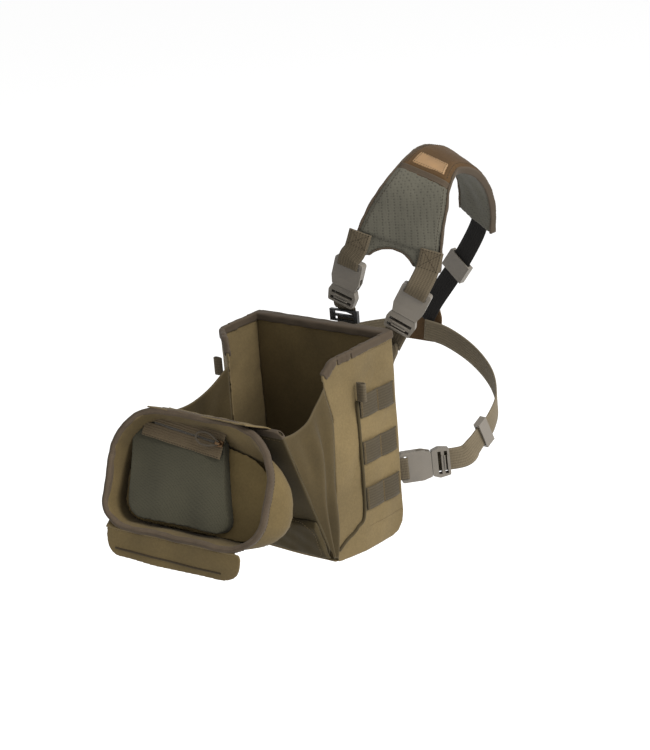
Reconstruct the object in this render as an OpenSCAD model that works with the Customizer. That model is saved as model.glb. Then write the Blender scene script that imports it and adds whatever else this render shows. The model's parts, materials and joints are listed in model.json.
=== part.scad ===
// Binocular harness pack: a chest-worn canvas pack, standing open, with a padded shoulder harness
// and a waist belt. Millimetres. +X is the viewer's right, -Y the front of the pack, +Z up.
// The origin is the centre of the padded face that rests on the wearer's chest.

/* [Pack body] */
// Width over the two side walls
body_w = 184; // [170:2:200]
// Height of the back panel
body_h = 224; // [210:2:240]
// Depth from the back panel to the front seam
body_d = 108; // [100:2:120]
// Thickness of a lined canvas wall
wall_t = 3; // [2:0.5:4]
// Radius of the bottom corner next to the wearer
corner_r = 22; // [15:1:30]
// Thickness of the spacer mesh pad on the chest side
chest_pad_t = 5; // [3:0.5:8]
// Angle by which the free front part of the left wall turns inward
left_turn = 50; // [10:1:55]
// Angle by which the free front part of the right wall turns inward
right_turn = 10; // [6:1:30]

/* [Webbing] */
// Width of the load webbing
web_w = 25; // [20:1:28]
// Thickness of one layer of webbing
web_t = 1.6; // [1:0.1:2]
// Distance between two rows of attachment webbing
row_pitch = 50.8; // [38:0.1:60]
// Top edge of the highest row of attachment webbing
row_top = 172; // [165:1:180]

/* [Front panel and lid] */
// Forward lean of the front panel when the pack stands open
open_lean = 22; // [18:1:24]
// Length of the front panel up from its bottom seam
panel_len = 177; // [174:1:180]
// Width of the front panel
panel_w = 168; // [150:2:172]
// Length of the cloth strip that joins the front panel to the lid
strip_len = 31; // [28:1:34]
// Width of the lid over its edge binding
lid_w = 184; // [180:1:188]
// Length of the lid from its hinge edge to its far edge
lid_len = 126; // [120:1:130]
// Depth of the lid tray
lid_depth = 42; // [36:1:46]
// Length of the flap on the far edge of the lid
flap_len = 34; // [28:1:36]

/* [Buckles] */
// Width of a side-release buckle
buckle_w = 34; // [32:1:36]
// Thickness of a side-release buckle
buckle_t = 9; // [8:0.5:10]
// Depth to which the prongs enter the socket
prong_len = 13.5; // [12:0.5:16]

/* [Hidden] */
$fn = 32;
half_w = body_w / 2;
inner_w = half_w - wall_t;
// Height of the chest face's centre above the bottom of the pack
face_z = 100;
binding = 1;
hinge_y = -body_d;
hinge_z = 4;
seam_y = -66;
chest_pad_size = [140, 146];
panel_t = 3;
strip_open = 47;
strip_gap = 8.5;
lid_fold = 178;
lid_pitch = 2;
lid_shift = -2.5;
lid_axis = [1, 0, -0.12];
lid_t = 2;
lid_draft = 3;
lid_slope = 38;
lining_w = lid_depth - 10;
pocket_w = 16;
flap_rest = 22;
slider_at = [20, 24];
zip_turn = 6;

canvas = [0.50, 0.43, 0.31];
canvas_dark = [0.34, 0.28, 0.19];
grosgrain = [0.42, 0.38, 0.31];
mesh_grey = [0.27, 0.27, 0.22];
moulded = [0.40, 0.38, 0.34];
foam_grey = [0.25, 0.25, 0.25];

// ---- Outlines -------------------------------------------------------------------------------------

function unit(v) = v / norm(v);

// The arc that rounds corner b of the outline a, b, c with radius r
function corner(a, b, c, r, n = 6) =
    let (u = unit(a - b), w = unit(c - b), half = acos(u * w) / 2, o = b + unit(u + w) * r / sin(half),
         p = b + u * r / tan(half) - o, q = b + w * r / tan(half) - o, from = atan2(p.y, p.x),
         turn = (atan2(q.y, q.x) - from + 540) % 360 - 180)
    [for (i = [0:n]) o + r * [cos(from + turn * i / n), sin(from + turn * i / n)]];

// A closed outline with every corner rounded; r is one radius or one for each corner
function rounded(p, r, n = 6) = let (k = len(p))
    [for (i = [0:k - 1], q = corner(p[(i + k - 1) % k], p[i], p[(i + 1) % k], is_list(r) ? r[i] : r, n)) q];

// A path whose inner corners are rounded
function bent(p, r, n = 6) = let (k = len(p))
    concat([p[0]], [for (i = [1:k - 2], q = corner(p[i - 1], p[i], p[i + 1], r, n)) q], [p[k - 1]]);

// The outline of a band that runs along a flat path, from offset a to offset b on its left
function band(p, a, b) = let (k = len(p),
    side = [for (i = [0:k - 1]) let (d = unit(p[min(i + 1, k - 1)] - p[max(i - 1, 0)])) [-d.y, d.x]])
    concat([for (i = [0:k - 1]) p[i] + a * side[i]], [for (i = [k - 1:-1:0]) p[i] + b * side[i]]);

// A smooth curve through the stations of a strap, n steps between neighbours
function glide(s, n = 4) = let (k = len(s))
    concat([for (i = [0:k - 2], j = [0:n - 1]) let (t = j / n, a = s[max(i - 1, 0)], b = s[i],
        c = s[i + 1], d = s[min(i + 2, k - 1)])
        0.5 * (2 * b + (c - a) * t + (2 * a - 5 * b + 4 * c - d) * t * t
        + (3 * b - a - 3 * c + d) * t * t * t)], [s[k - 1]]);

// A flat strap through stations [x, y, z, half width, outward normal x, y, z]: lo and hi are the
// offsets of its two faces along the normal, and trim takes from each edge
module strap(stations, lo, hi, trim = 0) {
    k = len(stations);
    at = [for (s = stations) [s[0], s[1], s[2]]];
    ring = [for (i = [0:k - 1]) let (s = stations[i], along = unit(at[min(i + 1, k - 1)] - at[max(i - 1, 0)]),
        across = unit(cross(along, [s[4], s[5], s[6]])), out = cross(across, along), h = s[3] - trim)
        each [at[i] - h * across + lo * out, at[i] + h * across + lo * out,
              at[i] + h * across + hi * out, at[i] - h * across + hi * out]];
    polyhedron(ring, concat([[0, 1, 2, 3]], [[4 * k - 1, 4 * k - 2, 4 * k - 3, 4 * k - 4]],
        [for (i = [0:k - 2], j = [0:3]) let (a = 4 * i + j, b = 4 * i + (j + 1) % 4) each
            [[a, a + 4, b], [b, a + 4, b + 4]]]));
}

// A round cord along a path
module cord(path, d, sides = 8) {
    k = len(path);
    ring = [for (i = [0:k - 1]) let (along = unit(path[min(i + 1, k - 1)] - path[max(i - 1, 0)]),
        u = unit(cross(along, [0.05, 0.1, 1])), v = cross(along, u)) each
        [for (j = [0:sides - 1]) path[i] + d / 2 * (cos(360 * j / sides) * u + sin(360 * j / sides) * v)]];
    polyhedron(ring, concat([[for (j = [0:sides - 1]) j]],
        [[for (j = [sides - 1:-1:0]) (k - 1) * sides + j]],
        [for (i = [0:k - 2], j = [0:sides - 1]) let (a = i * sides + j, b = i * sides + (j + 1) % sides)
            each [[a, a + sides, b], [b, a + sides, b + sides]]]));
}

module sheet(points, t) linear_extrude(t) polygon(points);

// ---- Places ---------------------------------------------------------------------------------------

// The pack's own frame: z = 0 at its bottom, y = 0 at the outer canvas of the back panel
module pack() translate([0, -chest_pad_t, -face_z]) children();

// Draws a flat outline given as [y, z] from x to x + t
module in_side(x, t) translate([x, 0, 0]) rotate([90, 0, 90]) linear_extrude(t) children();

// Draws a flat outline given as [x, z] from y to y + t
module in_front(y, t) translate([0, y + t, 0]) rotate([90, 0, 0]) linear_extrude(t) children();

// The front panel's frame: z runs up the panel, -y is outward
module on_front() pack() translate([0, hinge_y, hinge_z]) rotate([open_lean, 0, 0]) children();

// The hinge strip's frame: z runs from the front panel's top edge to the lid
module on_strip() on_front() translate([0, 0, panel_len]) rotate([strip_open, 0, 0]) children();

// The lid's frame: y runs from its hinge edge to its far edge, z from its rim to its outer face
module on_lid() on_strip() translate([0, 0, strip_len]) rotate(a = lid_fold, v = lid_axis)
    rotate([lid_pitch, 0, 0]) children();

module on_flap() on_lid() translate([0, lid_len, 0]) rotate([flap_rest, 0, 0]) children();

// The zipper's frame: x runs along its teeth, with the slider's rest place at 0
module on_zipper() on_lid() translate([slider_at.x, slider_at.y, pocket_w]) rotate([0, 0, zip_turn])
    children();

// A frame at a point of a strap: z up the strap, -y outward
module aim(place) {
    z = unit(place[1]);
    x = unit(cross(-place[2], z));
    y = cross(z, x);
    translate(place[0]) multmatrix([[x.x, y.x, z.x, 0], [x.y, y.y, z.y, 0], [x.z, y.z, z.z, 0],
        [0, 0, 0, 1]]) children();
}

// Each buckle: the mouth of its socket, the direction from plug to socket, and its outward side
buckle_left = [[25.5, 9, 262], [17, -1, 45], [0.15, -1, 0]];
buckle_right = [[92, 23, 235], [28, 8, 49], [0.4, -0.9, 0]];
buckle_belt = [[108, 32, 69], [-38, -40, -2], [0.69, -0.72, 0]];

// ---- Pack body ------------------------------------------------------------------------------------

back_outline = rounded([[-inner_w, corner_r], [inner_w, corner_r], [inner_w, body_h], [-inner_w, body_h]], 1);

module back_liner() color(canvas_dark) pack() in_front(-10, 1.5) polygon(back_outline);

module back_foam() color(foam_grey) pack() in_front(-8.5, 6.5) polygon(back_outline);

module back_shell() color(canvas) pack() in_front(-2, 2) polygon(back_outline);

module chest_mesh_pad() color(mesh_grey) pack() in_front(0, chest_pad_t)
    translate([-chest_pad_size.x / 2, face_z - chest_pad_size.y / 2]) polygon(rounded(
        [[0, 0], [chest_pad_size.x, 0], [chest_pad_size.x, chest_pad_size.y], [0, chest_pad_size.y]], 18));

bottom_path = bent([[0, corner_r], [0, 0], [hinge_y + 1, 0]], corner_r - 0.1, 8);

module bottom_panel() color(canvas) pack() difference() {
    in_side(-inner_w, 2 * inner_w) polygon(band(bottom_path, -wall_t, 0));
    wall_layer(-1, left_turn, 40, -wall_t);
    wall_layer(1, right_turn, 40, -wall_t);
}

// The top edge of a side wall, from the back panel to the free front corner
// Outlines of a side wall are drawn flat, then turned: y in front of the seam shortens with the turn
function turned(points, turn) = [for (p = points)
    p.x < seam_y ? [seam_y + (p.x - seam_y) * cos(turn), p.y] : p];

wall_corners = [[0, body_h], [-58, body_h - 2], [-94, body_h - 6], [-108, body_h - 18]];
wall_top = bent(wall_corners, 12, 3);

wall_outline = rounded(concat(wall_corners, [[-107, 192], [-98, 156], [-105, 22], [-106, 0], [0, 0]]),
    [0.5, 12, 12, 3, 3, 14, 20, 3, corner_r], 3);

// A side wall seen from above, with its front part turned inward, between two offsets
function wall_plan(turn, a, b) = let (reach = body_d - 64)
    band(bent([[1, half_w], [seam_y, half_w], [seam_y - reach * cos(turn), half_w - reach * sin(turn)]],
        12, 4), -a, -b);

// side is 1 on the right and -1 on the left
module wall_layer(side, turn, a, b) mirror([side < 0 ? 1 : 0, 0, 0])
    linear_extrude(body_h + 10) polygon([for (p = wall_plan(turn, a, b)) [p.y, p.x]]);

module side_wall(side, turn) intersection() {
    wall_layer(side, turn, 0, -wall_t);
    in_side(-half_w - 5, body_w + 10) polygon(turned(wall_outline, turn));
}

module side_panel_left() color(canvas) pack() side_wall(-1, left_turn);

module side_panel_right() color(canvas) pack() side_wall(1, right_turn);

piping_path = bent([[seam_y, row_top - 5], [seam_y, 52], [-78, 31], [-94, 22], [-105, 14]], 12);

module wall_piping(side, turn) intersection() {
    wall_layer(side, turn, 1.8, 0.05);
    in_side(-half_w - 5, body_w + 10) polygon(turned(band(piping_path, -1.5, 1.5), turn));
}

module seam_piping() color(canvas_dark) pack() {
    wall_piping(-1, left_turn);
    wall_piping(1, right_turn);
}

module edge_binding(side, turn) difference() {
    intersection() {
        wall_layer(side, turn, binding, -wall_t - binding);
        in_side(-half_w - 5, body_w + 10) polygon(turned(band(wall_top, -binding, 7), turn));
    }
    side_wall(side, turn);
}

module rim_binding() color(grosgrain) pack() difference() {
    union() {
        edge_binding(-1, left_turn);
        edge_binding(1, right_turn);
        translate([-inner_w + 1.2, -11, body_h - 7]) cube([2 * inner_w - 2.4, 12, 7 + binding]);
    }
    translate([-inner_w, -10, 0]) cube([2 * inner_w, 10, body_h]);
}

// One row of attachment webbing: flat where it is stitched and bowed out between
module molle_row(z) {
    first = -6;
    run = seam_y + 4 - first;
    bow = [for (i = [0:24]) [first + run * i / 24, 0.1 + 1.6 * abs(sin(360 * i / 24))]];
    translate([0, 0, z - web_w]) linear_extrude(web_w) polygon(
        [for (p = concat(bow, [for (i = [24:-1:0]) bow[i] + [0, web_t]])) [half_w + p.y, p.x]]);
}

module molle(side) mirror([side < 0 ? 1 : 0, 0, 0]) for (i = [0:2]) molle_row(row_top - i * row_pitch);

module molle_webbing_left() color(grosgrain) pack() molle(-1);

module molle_webbing_right() color(grosgrain) pack() molle(1);

// A folded webbing loop that stands out of the seam between the wall and the front
module tab_loop(side) mirror([side < 0 ? 1 : 0, 0, 0]) translate([half_w + 0.1, seam_y, row_top + 6])
    linear_extrude(20, center = true) difference() {
        polygon(rounded([[0, -3.2], [13, -3.2], [13, 3.2], [0, 3.2]], [0.1, 3, 3, 0.1]));
        polygon(rounded([[1.6, -1.6], [11.4, -1.6], [11.4, 1.6], [1.6, 1.6]], 1.4));
    }

module tab_loops() color(grosgrain) pack() for (side = [-1, 1]) tab_loop(side);

// The loose cloth between a side wall and the front panel, bowed outward
gusset_front = [[-162, 152], [-113, 24], [-108, 30], [-100.5, 156]];
gusset_top_left = [[-108.5, 184], [-116, 158], [-140, 148]];
gusset_top_right = [[-108.5, 188], [-146, 174]];

module gusset(side, turn, top) difference() {
    intersection() {
        in_side(-half_w - 5, body_w + 10) polygon([for (p = concat(top, gusset_front))
            p.x > -110 ? [seam_y + (p.x - seam_y) * cos(turn), p.y] : p]);
        mirror([side < 0 ? 1 : 0, 0, 0]) linear_extrude(body_h) polygon([for (p = band(bent(
            [[seam_y - 41 * cos(turn), half_w - 1 - 42 * sin(turn)], [-128, half_w - 1 - 12 * sin(turn)],
            [-176, panel_w / 2 - 4]], 30), 0, -2)) [p.y, p.x]]);
    }
    wall_layer(side, turn, 1.2, -wall_t - 1.2);
    translate([0, hinge_y, hinge_z]) rotate([open_lean, 0, 0]) translate([-half_w, -30, -10])
        cube([body_w, 30.4, panel_len + 40]);
}

module gusset_left() color(canvas) pack() gusset(-1, left_turn, gusset_top_left);

module gusset_right() color(canvas) pack() gusset(1, right_turn, gusset_top_right);

// ---- Front panel ----------------------------------------------------------------------------------

module front_panel() color(canvas_dark) on_front() in_front(-panel_t, panel_t) polygon(rounded(
    [[-panel_w / 2, 1], [panel_w / 2, 1], [panel_w / 2, panel_len - 1], [-panel_w / 2, panel_len - 1]],
    [20, 20, 8, 8]));

module front_pocket() color(canvas_dark) on_front() in_side(-panel_w / 2 + 2, panel_w - 4) polygon(rounded(
    [[-panel_t, 4], [-panel_t - 6, 10], [-panel_t - 6, 52], [-panel_t, 58]], [1, 4, 4, 1]));

module front_binding() color(grosgrain) on_front() difference() {
    in_front(-panel_t - binding, panel_t + 2 * binding) polygon(rounded([[-panel_w / 2 - 1, panel_len - 8],
        [panel_w / 2 + 1, panel_len - 8], [panel_w / 2 + 1, panel_len], [-panel_w / 2 - 1, panel_len]],
        [0.5, 0.5, 7, 7]));
    in_front(-panel_t, panel_t) polygon([[-panel_w / 2, 1], [panel_w / 2, 1],
        [panel_w / 2, panel_len - 1], [-panel_w / 2, panel_len - 1]]);
}

// Its far edge runs parallel to the lid's fold axis
module hinge_strip() color(canvas) on_strip() in_front(-1, 2) polygon([[-66, 2], [66, 2],
    [58, strip_len - strip_gap + 58 * lid_axis.z], [-58, strip_len - strip_gap - 58 * lid_axis.z]]);

// ---- Lid ------------------------------------------------------------------------------------------

// The lid's outline at depth z, drawn in by inset; the tray is cut back towards its right hinge corner
function lid_outline(inset, z = 0) = let (x = lid_w / 2 - inset) rounded([for (p = [[-x, inset + 1],
    [x, inset + 1 + lid_slope * z / lid_depth], [x, lid_len - inset], [-x, lid_len - inset]])
    p + [lid_shift, 0]], [for (r = [52, 54, 40, 30]) r - inset * 0.8]);

// How far the inner wall of the tray stands in from the lid's edge at a depth
function tray_inset(z) = binding + lid_t + lid_draft * z / lid_depth;

// The tapered body of the tray between two depths, drawn in by inset
module tray(inset, low, high) hull() for (z = [low, high - 0.01])
    translate([0, 0, z]) sheet(lid_outline(inset + lid_draft * z / lid_depth, z), 0.01);

module lid_shell() color(canvas) on_lid() difference() {
    tray(binding, 0.5, lid_depth);
    tray(binding + lid_t, 0, lid_depth - lid_t);
}

module lid_binding() color(grosgrain) on_lid() difference() {
    intersection() {
        tray(0, -0.8, lid_depth);
        translate([-150, -10, -1]) cube([300, 200, 8.2]);
    }
    tray(binding + lid_t + 1.6, -1, lid_depth);
    difference() {
        tray(binding - 0.15, 0.4, lid_depth);
        tray(binding + lid_t + 0.15, 0.3, lid_depth + 1);
    }
}

module lid_foam() color(foam_grey) on_lid() translate([0, 0, lining_w + 1.5])
    sheet(lid_outline(tray_inset(lid_depth) + 0.6, lid_depth), lid_depth - lid_t - lining_w - 1.6);

module lid_lining() color(canvas) on_lid() translate([0, 0, lining_w])
    sheet(lid_outline(tray_inset(lid_depth) + 0.3, lining_w + 2), 1.4);

// The mesh pocket on the lining: straight at the left, with a curved right edge
pocket_outline = rounded([[-84, 30], [-74, 4], [20, 10], [26, 40], [34, 72], [46, 114], [-70, 114]],
    [6, 4, 4, 20, 30, 12, 22]);

module mesh_pocket() color(mesh_grey) on_lid() intersection() {
    translate([0, 0, pocket_w + 2]) sheet(pocket_outline, lining_w - pocket_w - 2.1);
    tray(binding + lid_t + 0.6, 1, lid_depth - 1);
}

module zipper_tape(low, high, left) translate([0, 0, 0.6])
    sheet([[left, low], [2, low], [2, high], [left, high]], 1.2);

module zipper_tapes() color(grosgrain) intersection() {
    on_zipper() {
        zipper_tape(-10.5, -1.8, -84);
        zipper_tape(1.8, 11, -90);
    }
    on_lid() tray(binding + lid_t + 0.6, 1, lid_depth - 1);
}

module zipper_coil() color(canvas_dark) on_zipper() translate([-78, -1.7, 0.4]) cube([80, 3.4, 1.3]);

module zipper_slider() color("peru") on_zipper() {
    translate([-4.5, -4, -2.4]) sheet(rounded([[0, 0], [9, 1], [9, 7], [0, 8]], 1.5), 2.2);
    difference() {
        translate([-3, 1.2, -7]) rotate([90, 0, 0]) linear_extrude(2.4)
            polygon(rounded([[0, 0], [6, 0], [6, 4.7], [0, 4.7]], 1.5));
        translate([0, 5, -4.5]) rotate([90, 0, 0]) cylinder(d = 3.6, h = 10);
    }
}

// The pull: a knotted cord loop that passes through the slider's eye and lies on the pocket
pull_route = [[0, 1.4, -4.2], [-4, 2.8, -4.4], [-10, 5, -4.8], [-18, 5.4, -5], [-24, 2.6, -5], [-26, -1.6, -5],
    [-23, -5.6, -5.2], [-16, -7.4, -5.4], [-10, -6.6, -5.2], [-6, -4.8, -4.8], [-3, -3, -4.4], [0, -1.4, -4.2]];

module pull_cord() color(grosgrain) on_zipper() cord(pull_route, 2.2);

module lid_flap() color(canvas) on_flap() translate([0, 0, 0.5]) sheet(rounded([[-86, 2.4], [62, 2.4],
    [58, flap_len], [-88, flap_len - 4]], [2, 2, 22, 16]), 2.4);

module flap_piping() color(grosgrain) on_flap() translate([0, 0, 0.5 - 1.6])
    sheet(band([[-76, flap_len - 10], [46, flap_len - 6]], -1.2, 1.2), 1.5);

// ---- Shoulder harness -----------------------------------------------------------------------------

// Stations over the shoulder, from the front legs to the rear end
shoulder_path = glide([[80, 30, 291, 48, 0.41, -0.91, 0.05], [85, 33, 312, 45, 0.43, -0.9, 0.07],
    [92.5, 37, 336, 40.5, 0.45, -0.87, 0.12], [101, 43, 358, 35, 0.5, -0.8, 0.2],
    [105, 54, 375, 29, 0.45, -0.56, 0.58], [103, 80, 386, 25, 0.42, -0.05, 0.88],
    [102, 112, 379, 26, 0.4, 0.4, 0.82], [97, 142, 358, 27, 0.35, 0.75, 0.5],
    [88, 164, 330, 28, 0.3, 0.9, 0.2], [77, 178, 300, 27, 0.25, 0.95, 0.05]]);
shoulder_t = 6;

// The round cutter of the arch between the two front legs of the pad
module arch(r) translate([101, -37, 276]) rotate([-90, 0, 24]) cylinder(r = r, h = 120);

module shoulder_foam() color(foam_grey) pack() difference() {
    strap(shoulder_path, 0.6, shoulder_t, 1.5);
    arch(31.6);
}

// The stations of a narrow strap along one long edge of the pad
function edge_of(stations, side) = let (k = len(stations), at = [for (s = stations) [s[0], s[1], s[2]]])
    [for (i = [0:k - 1]) let (s = stations[i], out = [s[4], s[5], s[6]],
        across = unit(cross(unit(at[min(i + 1, k - 1)] - at[max(i - 1, 0)]), out)))
        concat(at[i] + side * (s[3] - 0.1) * across, [1.2], out)];

module shoulder_binding() color(grosgrain) pack() {
    for (side = [-1, 1]) strap(edge_of(shoulder_path, side), -0.4, shoulder_t + 1.4);
    intersection() {
        strap(shoulder_path, -0.4, shoulder_t + 1.4, 3);
        difference() {
            arch(31.4);
            arch(29);
        }
    }
}

module shoulder_mesh() color(mesh_grey) pack() strap([for (i = [4:16]) shoulder_path[i]],
    shoulder_t + 0.9, shoulder_t + 2.1, 5);

module shoulder_canvas() color(canvas) pack() strap([for (i = [16:36]) shoulder_path[i]],
    shoulder_t + 0.9, shoulder_t + 2.1, 5);

module leather_patch() color("sienna") pack() strap([for (i = [17:19]) shoulder_path[i]],
    shoulder_t + 2.4, shoulder_t + 4, 10);

half_web = web_w / 2;

function strap_on(place, from, to, depth) = let (z = unit(place[1]), x = unit(cross(-place[2], z)),
    out = -cross(z, x)) [for (s = [from, to]) concat(place[0] + s * z - depth * out, [half_web], out)];

module leg_webbing(place, top) strap(glide(concat(strap_on(place, 25.5, 37, -4.9), top)), 0, web_t);

module leg_webbing_left() color(grosgrain) pack() leg_webbing(buckle_left,
    [[46, 5.5, 305, half_web, 0.3, -0.95, 0.05], [54, 7, 325, half_web, 0.41, -0.9, 0.05]]);

module leg_webbing_right() color(grosgrain) pack() leg_webbing(buckle_right,
    [[117, 34, 284, half_web, 0.42, -0.9, 0.05], [122, 38, 304, half_web, 0.42, -0.9, 0.07]]);

// The rear strap, from the pad's rear end to the junction behind the wearer
rear_path = glide([[80, 186.5, 312, half_web, 0.25, 0.95, 0.1], [71, 188, 288, half_web, 0.2, 0.97, 0.05],
    [50, 190, 256, half_web, 0.15, 0.98, 0], [26, 192, 226, half_web, 0.1, 0.99, 0],
    [2, 192, 196, half_web, 0.05, 1, 0], [-14, 192, 172, half_web, 0, 1, 0]]);

module rear_webbing() color(grosgrain) pack() strap(rear_path, 2, 2 + web_t);

module rear_junction() color(canvas) pack() in_front(196, 2) translate([-24, 162]) polygon(rounded(
    [[-34, -18], [32, -18], [34, 14], [30, 30], [4, 30], [-34, 6]], 6));

// ---- Belt -----------------------------------------------------------------------------------------

belt_right_path = glide(concat(strap_on(buckle_belt, -4, -36, 6.6), [
    [133.6, 74, 79, half_web, 0.96, -0.25, 0], [136, 86, 88, half_web, 1, -0.05, 0],
    [136.5, 104, 97, half_web, 0.99, 0.1, 0], [126, 132, 110, half_web, 0.85, 0.5, 0],
    [100, 160, 126, half_web, 0.6, 0.8, 0], [62, 180, 142, half_web, 0.35, 0.93, 0],
    [20, 190, 155, half_web, 0.1, 0.99, 0], [-12, 191, 160, half_web, 0, 1, 0]]));

belt_left_path = glide([[-86, 3, 70, half_web, -0.5, -0.86, 0], [-112, 19, 73, half_web, -0.6, -0.8, 0],
    [-142, 42, 81, half_web, -0.7, -0.7, 0], [-166, 68, 91, half_web, -0.88, -0.45, 0],
    [-176, 98, 104, half_web, -1, 0, 0], [-165, 132, 120, half_web, -0.88, 0.45, 0],
    [-136, 160, 136, half_web, -0.6, 0.8, 0], [-94, 180, 149, half_web, -0.3, 0.95, 0],
    [-40, 191, 160, half_web, 0, 1, 0]]);

module belt_right() color(grosgrain) pack() strap(belt_right_path, 0, web_t);

module belt_left() color(grosgrain) pack() strap(belt_left_path, 0, web_t);

module belt_stub() color(grosgrain) pack() strap(concat(
    [[72, 2.1, 67.5, half_web, 0, -1, 0], [79, 2.1, 67.7, half_web, 0, -1, 0]],
    strap_on(buckle_belt, 35, 25.5, -4.9)), 0, web_t);

// A flat frame round a strap, centred in the frame of aim()
module keeper(long) difference() {
    translate([-16.5, -3.8, -long / 2]) cube([33, 7.6, long]);
    translate([-half_web - 0.8, -2.3, -long]) cube([web_w + 1.6, 4.6, 2 * long]);
}

keeper_belt = [[137.1, 91, 90.5], [1, 26, 13], [1, 0, 0]];
keeper_rear = [[38.4, 193.8, 241], [24, -2, 30], [0.12, 0.99, 0]];

module belt_slide() color(moulded) pack() aim(keeper_belt) keeper(14);

module rear_slide() color(moulded) pack() aim(keeper_rear) keeper(24);

// ---- Buckles --------------------------------------------------------------------------------------

// The socket: a flat shell open at its mouth and at both sides, with a bar for the strap
module buckle_socket(place) color(moulded) pack() aim(place) difference() {
    in_front(-buckle_t / 2, buckle_t) polygon(rounded([[-14, 0], [14, 0], [buckle_w / 2, 10], [buckle_w / 2, 34],
        [-buckle_w / 2, 34], [-buckle_w / 2, 10]], [2, 2, 5, 3, 3, 5], 3));
    translate([-buckle_w, -2.6, -1]) cube([2 * buckle_w, 5.2, 17]);
    translate([-half_web - 0.6, -buckle_t, 26]) cube([web_w + 1.2, 2 * buckle_t, 3.6]);
}

// The plug: a ladder for the strap with a centre prong
module buckle_plug(place) color(moulded) pack() aim(place) difference() {
    union() {
        in_front(-4, 8) polygon(rounded([[-14, -0.5], [14, -0.5], [buckle_w / 2, -8], [buckle_w / 2 - 2, -20],
            [-buckle_w / 2 + 2, -20], [-buckle_w / 2, -8]], [1, 1, 5, 2, 2, 5], 3));
        translate([-4, -2, -2]) cube([8, 4, prong_len + 2]);
    }
    for (z = [-10.5, -17.5]) translate([-half_web - 0.4, -5, z]) cube([web_w + 0.8, 10, 3.6]);
}

// One spring arm of a plug; side is 1 or -1 across the strap
module release_arm(place, side) color(moulded) pack() aim(place) mirror([side < 0 ? 1 : 0, 0, 0])
    in_front(-2, 4) polygon(rounded([[7.2, 0.2], [9.6, 0.2], [12, 5], [buckle_w / 2 - 1.2, 6],
        [buckle_w / 2 - 1.6, 12], [10, prong_len], [8.6, 8]], 0.8, 2));

module buckle_socket_left() buckle_socket(buckle_left);

module buckle_socket_right() buckle_socket(buckle_right);

module buckle_socket_belt() buckle_socket(buckle_belt);

module buckle_plug_left() buckle_plug(buckle_left);

module buckle_plug_right() buckle_plug(buckle_right);

module buckle_plug_belt() buckle_plug(buckle_belt);

module release_arm_left_inner() release_arm(buckle_left, 1);

module release_arm_left_outer() release_arm(buckle_left, -1);

module release_arm_right_inner() release_arm(buckle_right, -1);

module release_arm_right_outer() release_arm(buckle_right, 1);

module release_arm_belt_upper() release_arm(buckle_belt, 1);

module release_arm_belt_lower() release_arm(buckle_belt, -1);

// ---- Anchors --------------------------------------------------------------------------------------

module anchor_webbing_left() color("dimgray") pack() strap(glide(concat(strap_on(buckle_left, -4, -24, 6.6),
    [[14.8, 23, 234.6, half_web, 0, -1, 0.1], [13.4, 23.6, 229, half_web, 0, -1, 0]])), 0, web_t);

module anchor_webbing_right() color("dimgray") pack() strap(glide(concat(strap_on(buckle_right, -4, -41, 7.6),
    [[72, 14.5, 193, half_web, 0.3, -0.95, 0.1], [76, 2.8, 182, half_web, 0, -1, 0.2],
    [76, 2.2, 174, half_web, 0, -1, 0]])), 0, web_t);

// A flat two-slot ring behind the pack's top edge
ring_place = [13, 19.2, 226];

module top_ring() color("black") pack() translate(ring_place) difference() {
    translate([-19, -2, -6.6]) cube([38, 4, 13.2]);
    for (z = [-4.8, 1.2]) translate([-14, -3, z]) cube([28, 6, 3.6]);
}

module ring_tab() color("dimgray") pack() strap([[13, 23.4, 225, half_web, 0, -1, 0],
    [13, 23, 217, half_web, 0, -0.95, 0.3], [13, 2.4, 201, half_web, 0, -0.95, 0.3],
    [13, 2.1, 184, half_web, 0, -1, 0]], 0, web_t);

back_liner();
back_foam();
back_shell();
chest_mesh_pad();
bottom_panel();
side_panel_left();
side_panel_right();
seam_piping();
rim_binding();
molle_webbing_left();
molle_webbing_right();
tab_loops();
gusset_left();
gusset_right();
front_panel();
front_pocket();
front_binding();
hinge_strip();
lid_shell();
lid_binding();
lid_foam();
lid_lining();
mesh_pocket();
zipper_tapes();
zipper_coil();
zipper_slider();
pull_cord();
lid_flap();
flap_piping();
shoulder_foam();
shoulder_mesh();
shoulder_canvas();
shoulder_binding();
leather_patch();
leg_webbing_left();
leg_webbing_right();
top_ring();
ring_tab();
anchor_webbing_left();
anchor_webbing_right();
buckle_socket_left();
buckle_socket_right();
buckle_socket_belt();
buckle_plug_left();
buckle_plug_right();
buckle_plug_belt();
release_arm_left_inner();
release_arm_left_outer();
release_arm_right_inner();
release_arm_right_outer();
release_arm_belt_upper();
release_arm_belt_lower();
belt_stub();
belt_right();
belt_left();
belt_slide();
rear_webbing();
rear_slide();
rear_junction();
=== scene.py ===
"""Looks of the binocular harness pack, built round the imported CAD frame. Lengths are in millimetres in
the pack's own frame (z = 0 at its bottom, y = 0 at the outer canvas of the back panel) until they are
placed in the row frame, in metres."""

import json
import math

import bmesh
import bpy
import numpy as np
from mathutils import Matrix, Vector
from mathutils.bvhtree import BVHTree

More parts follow.
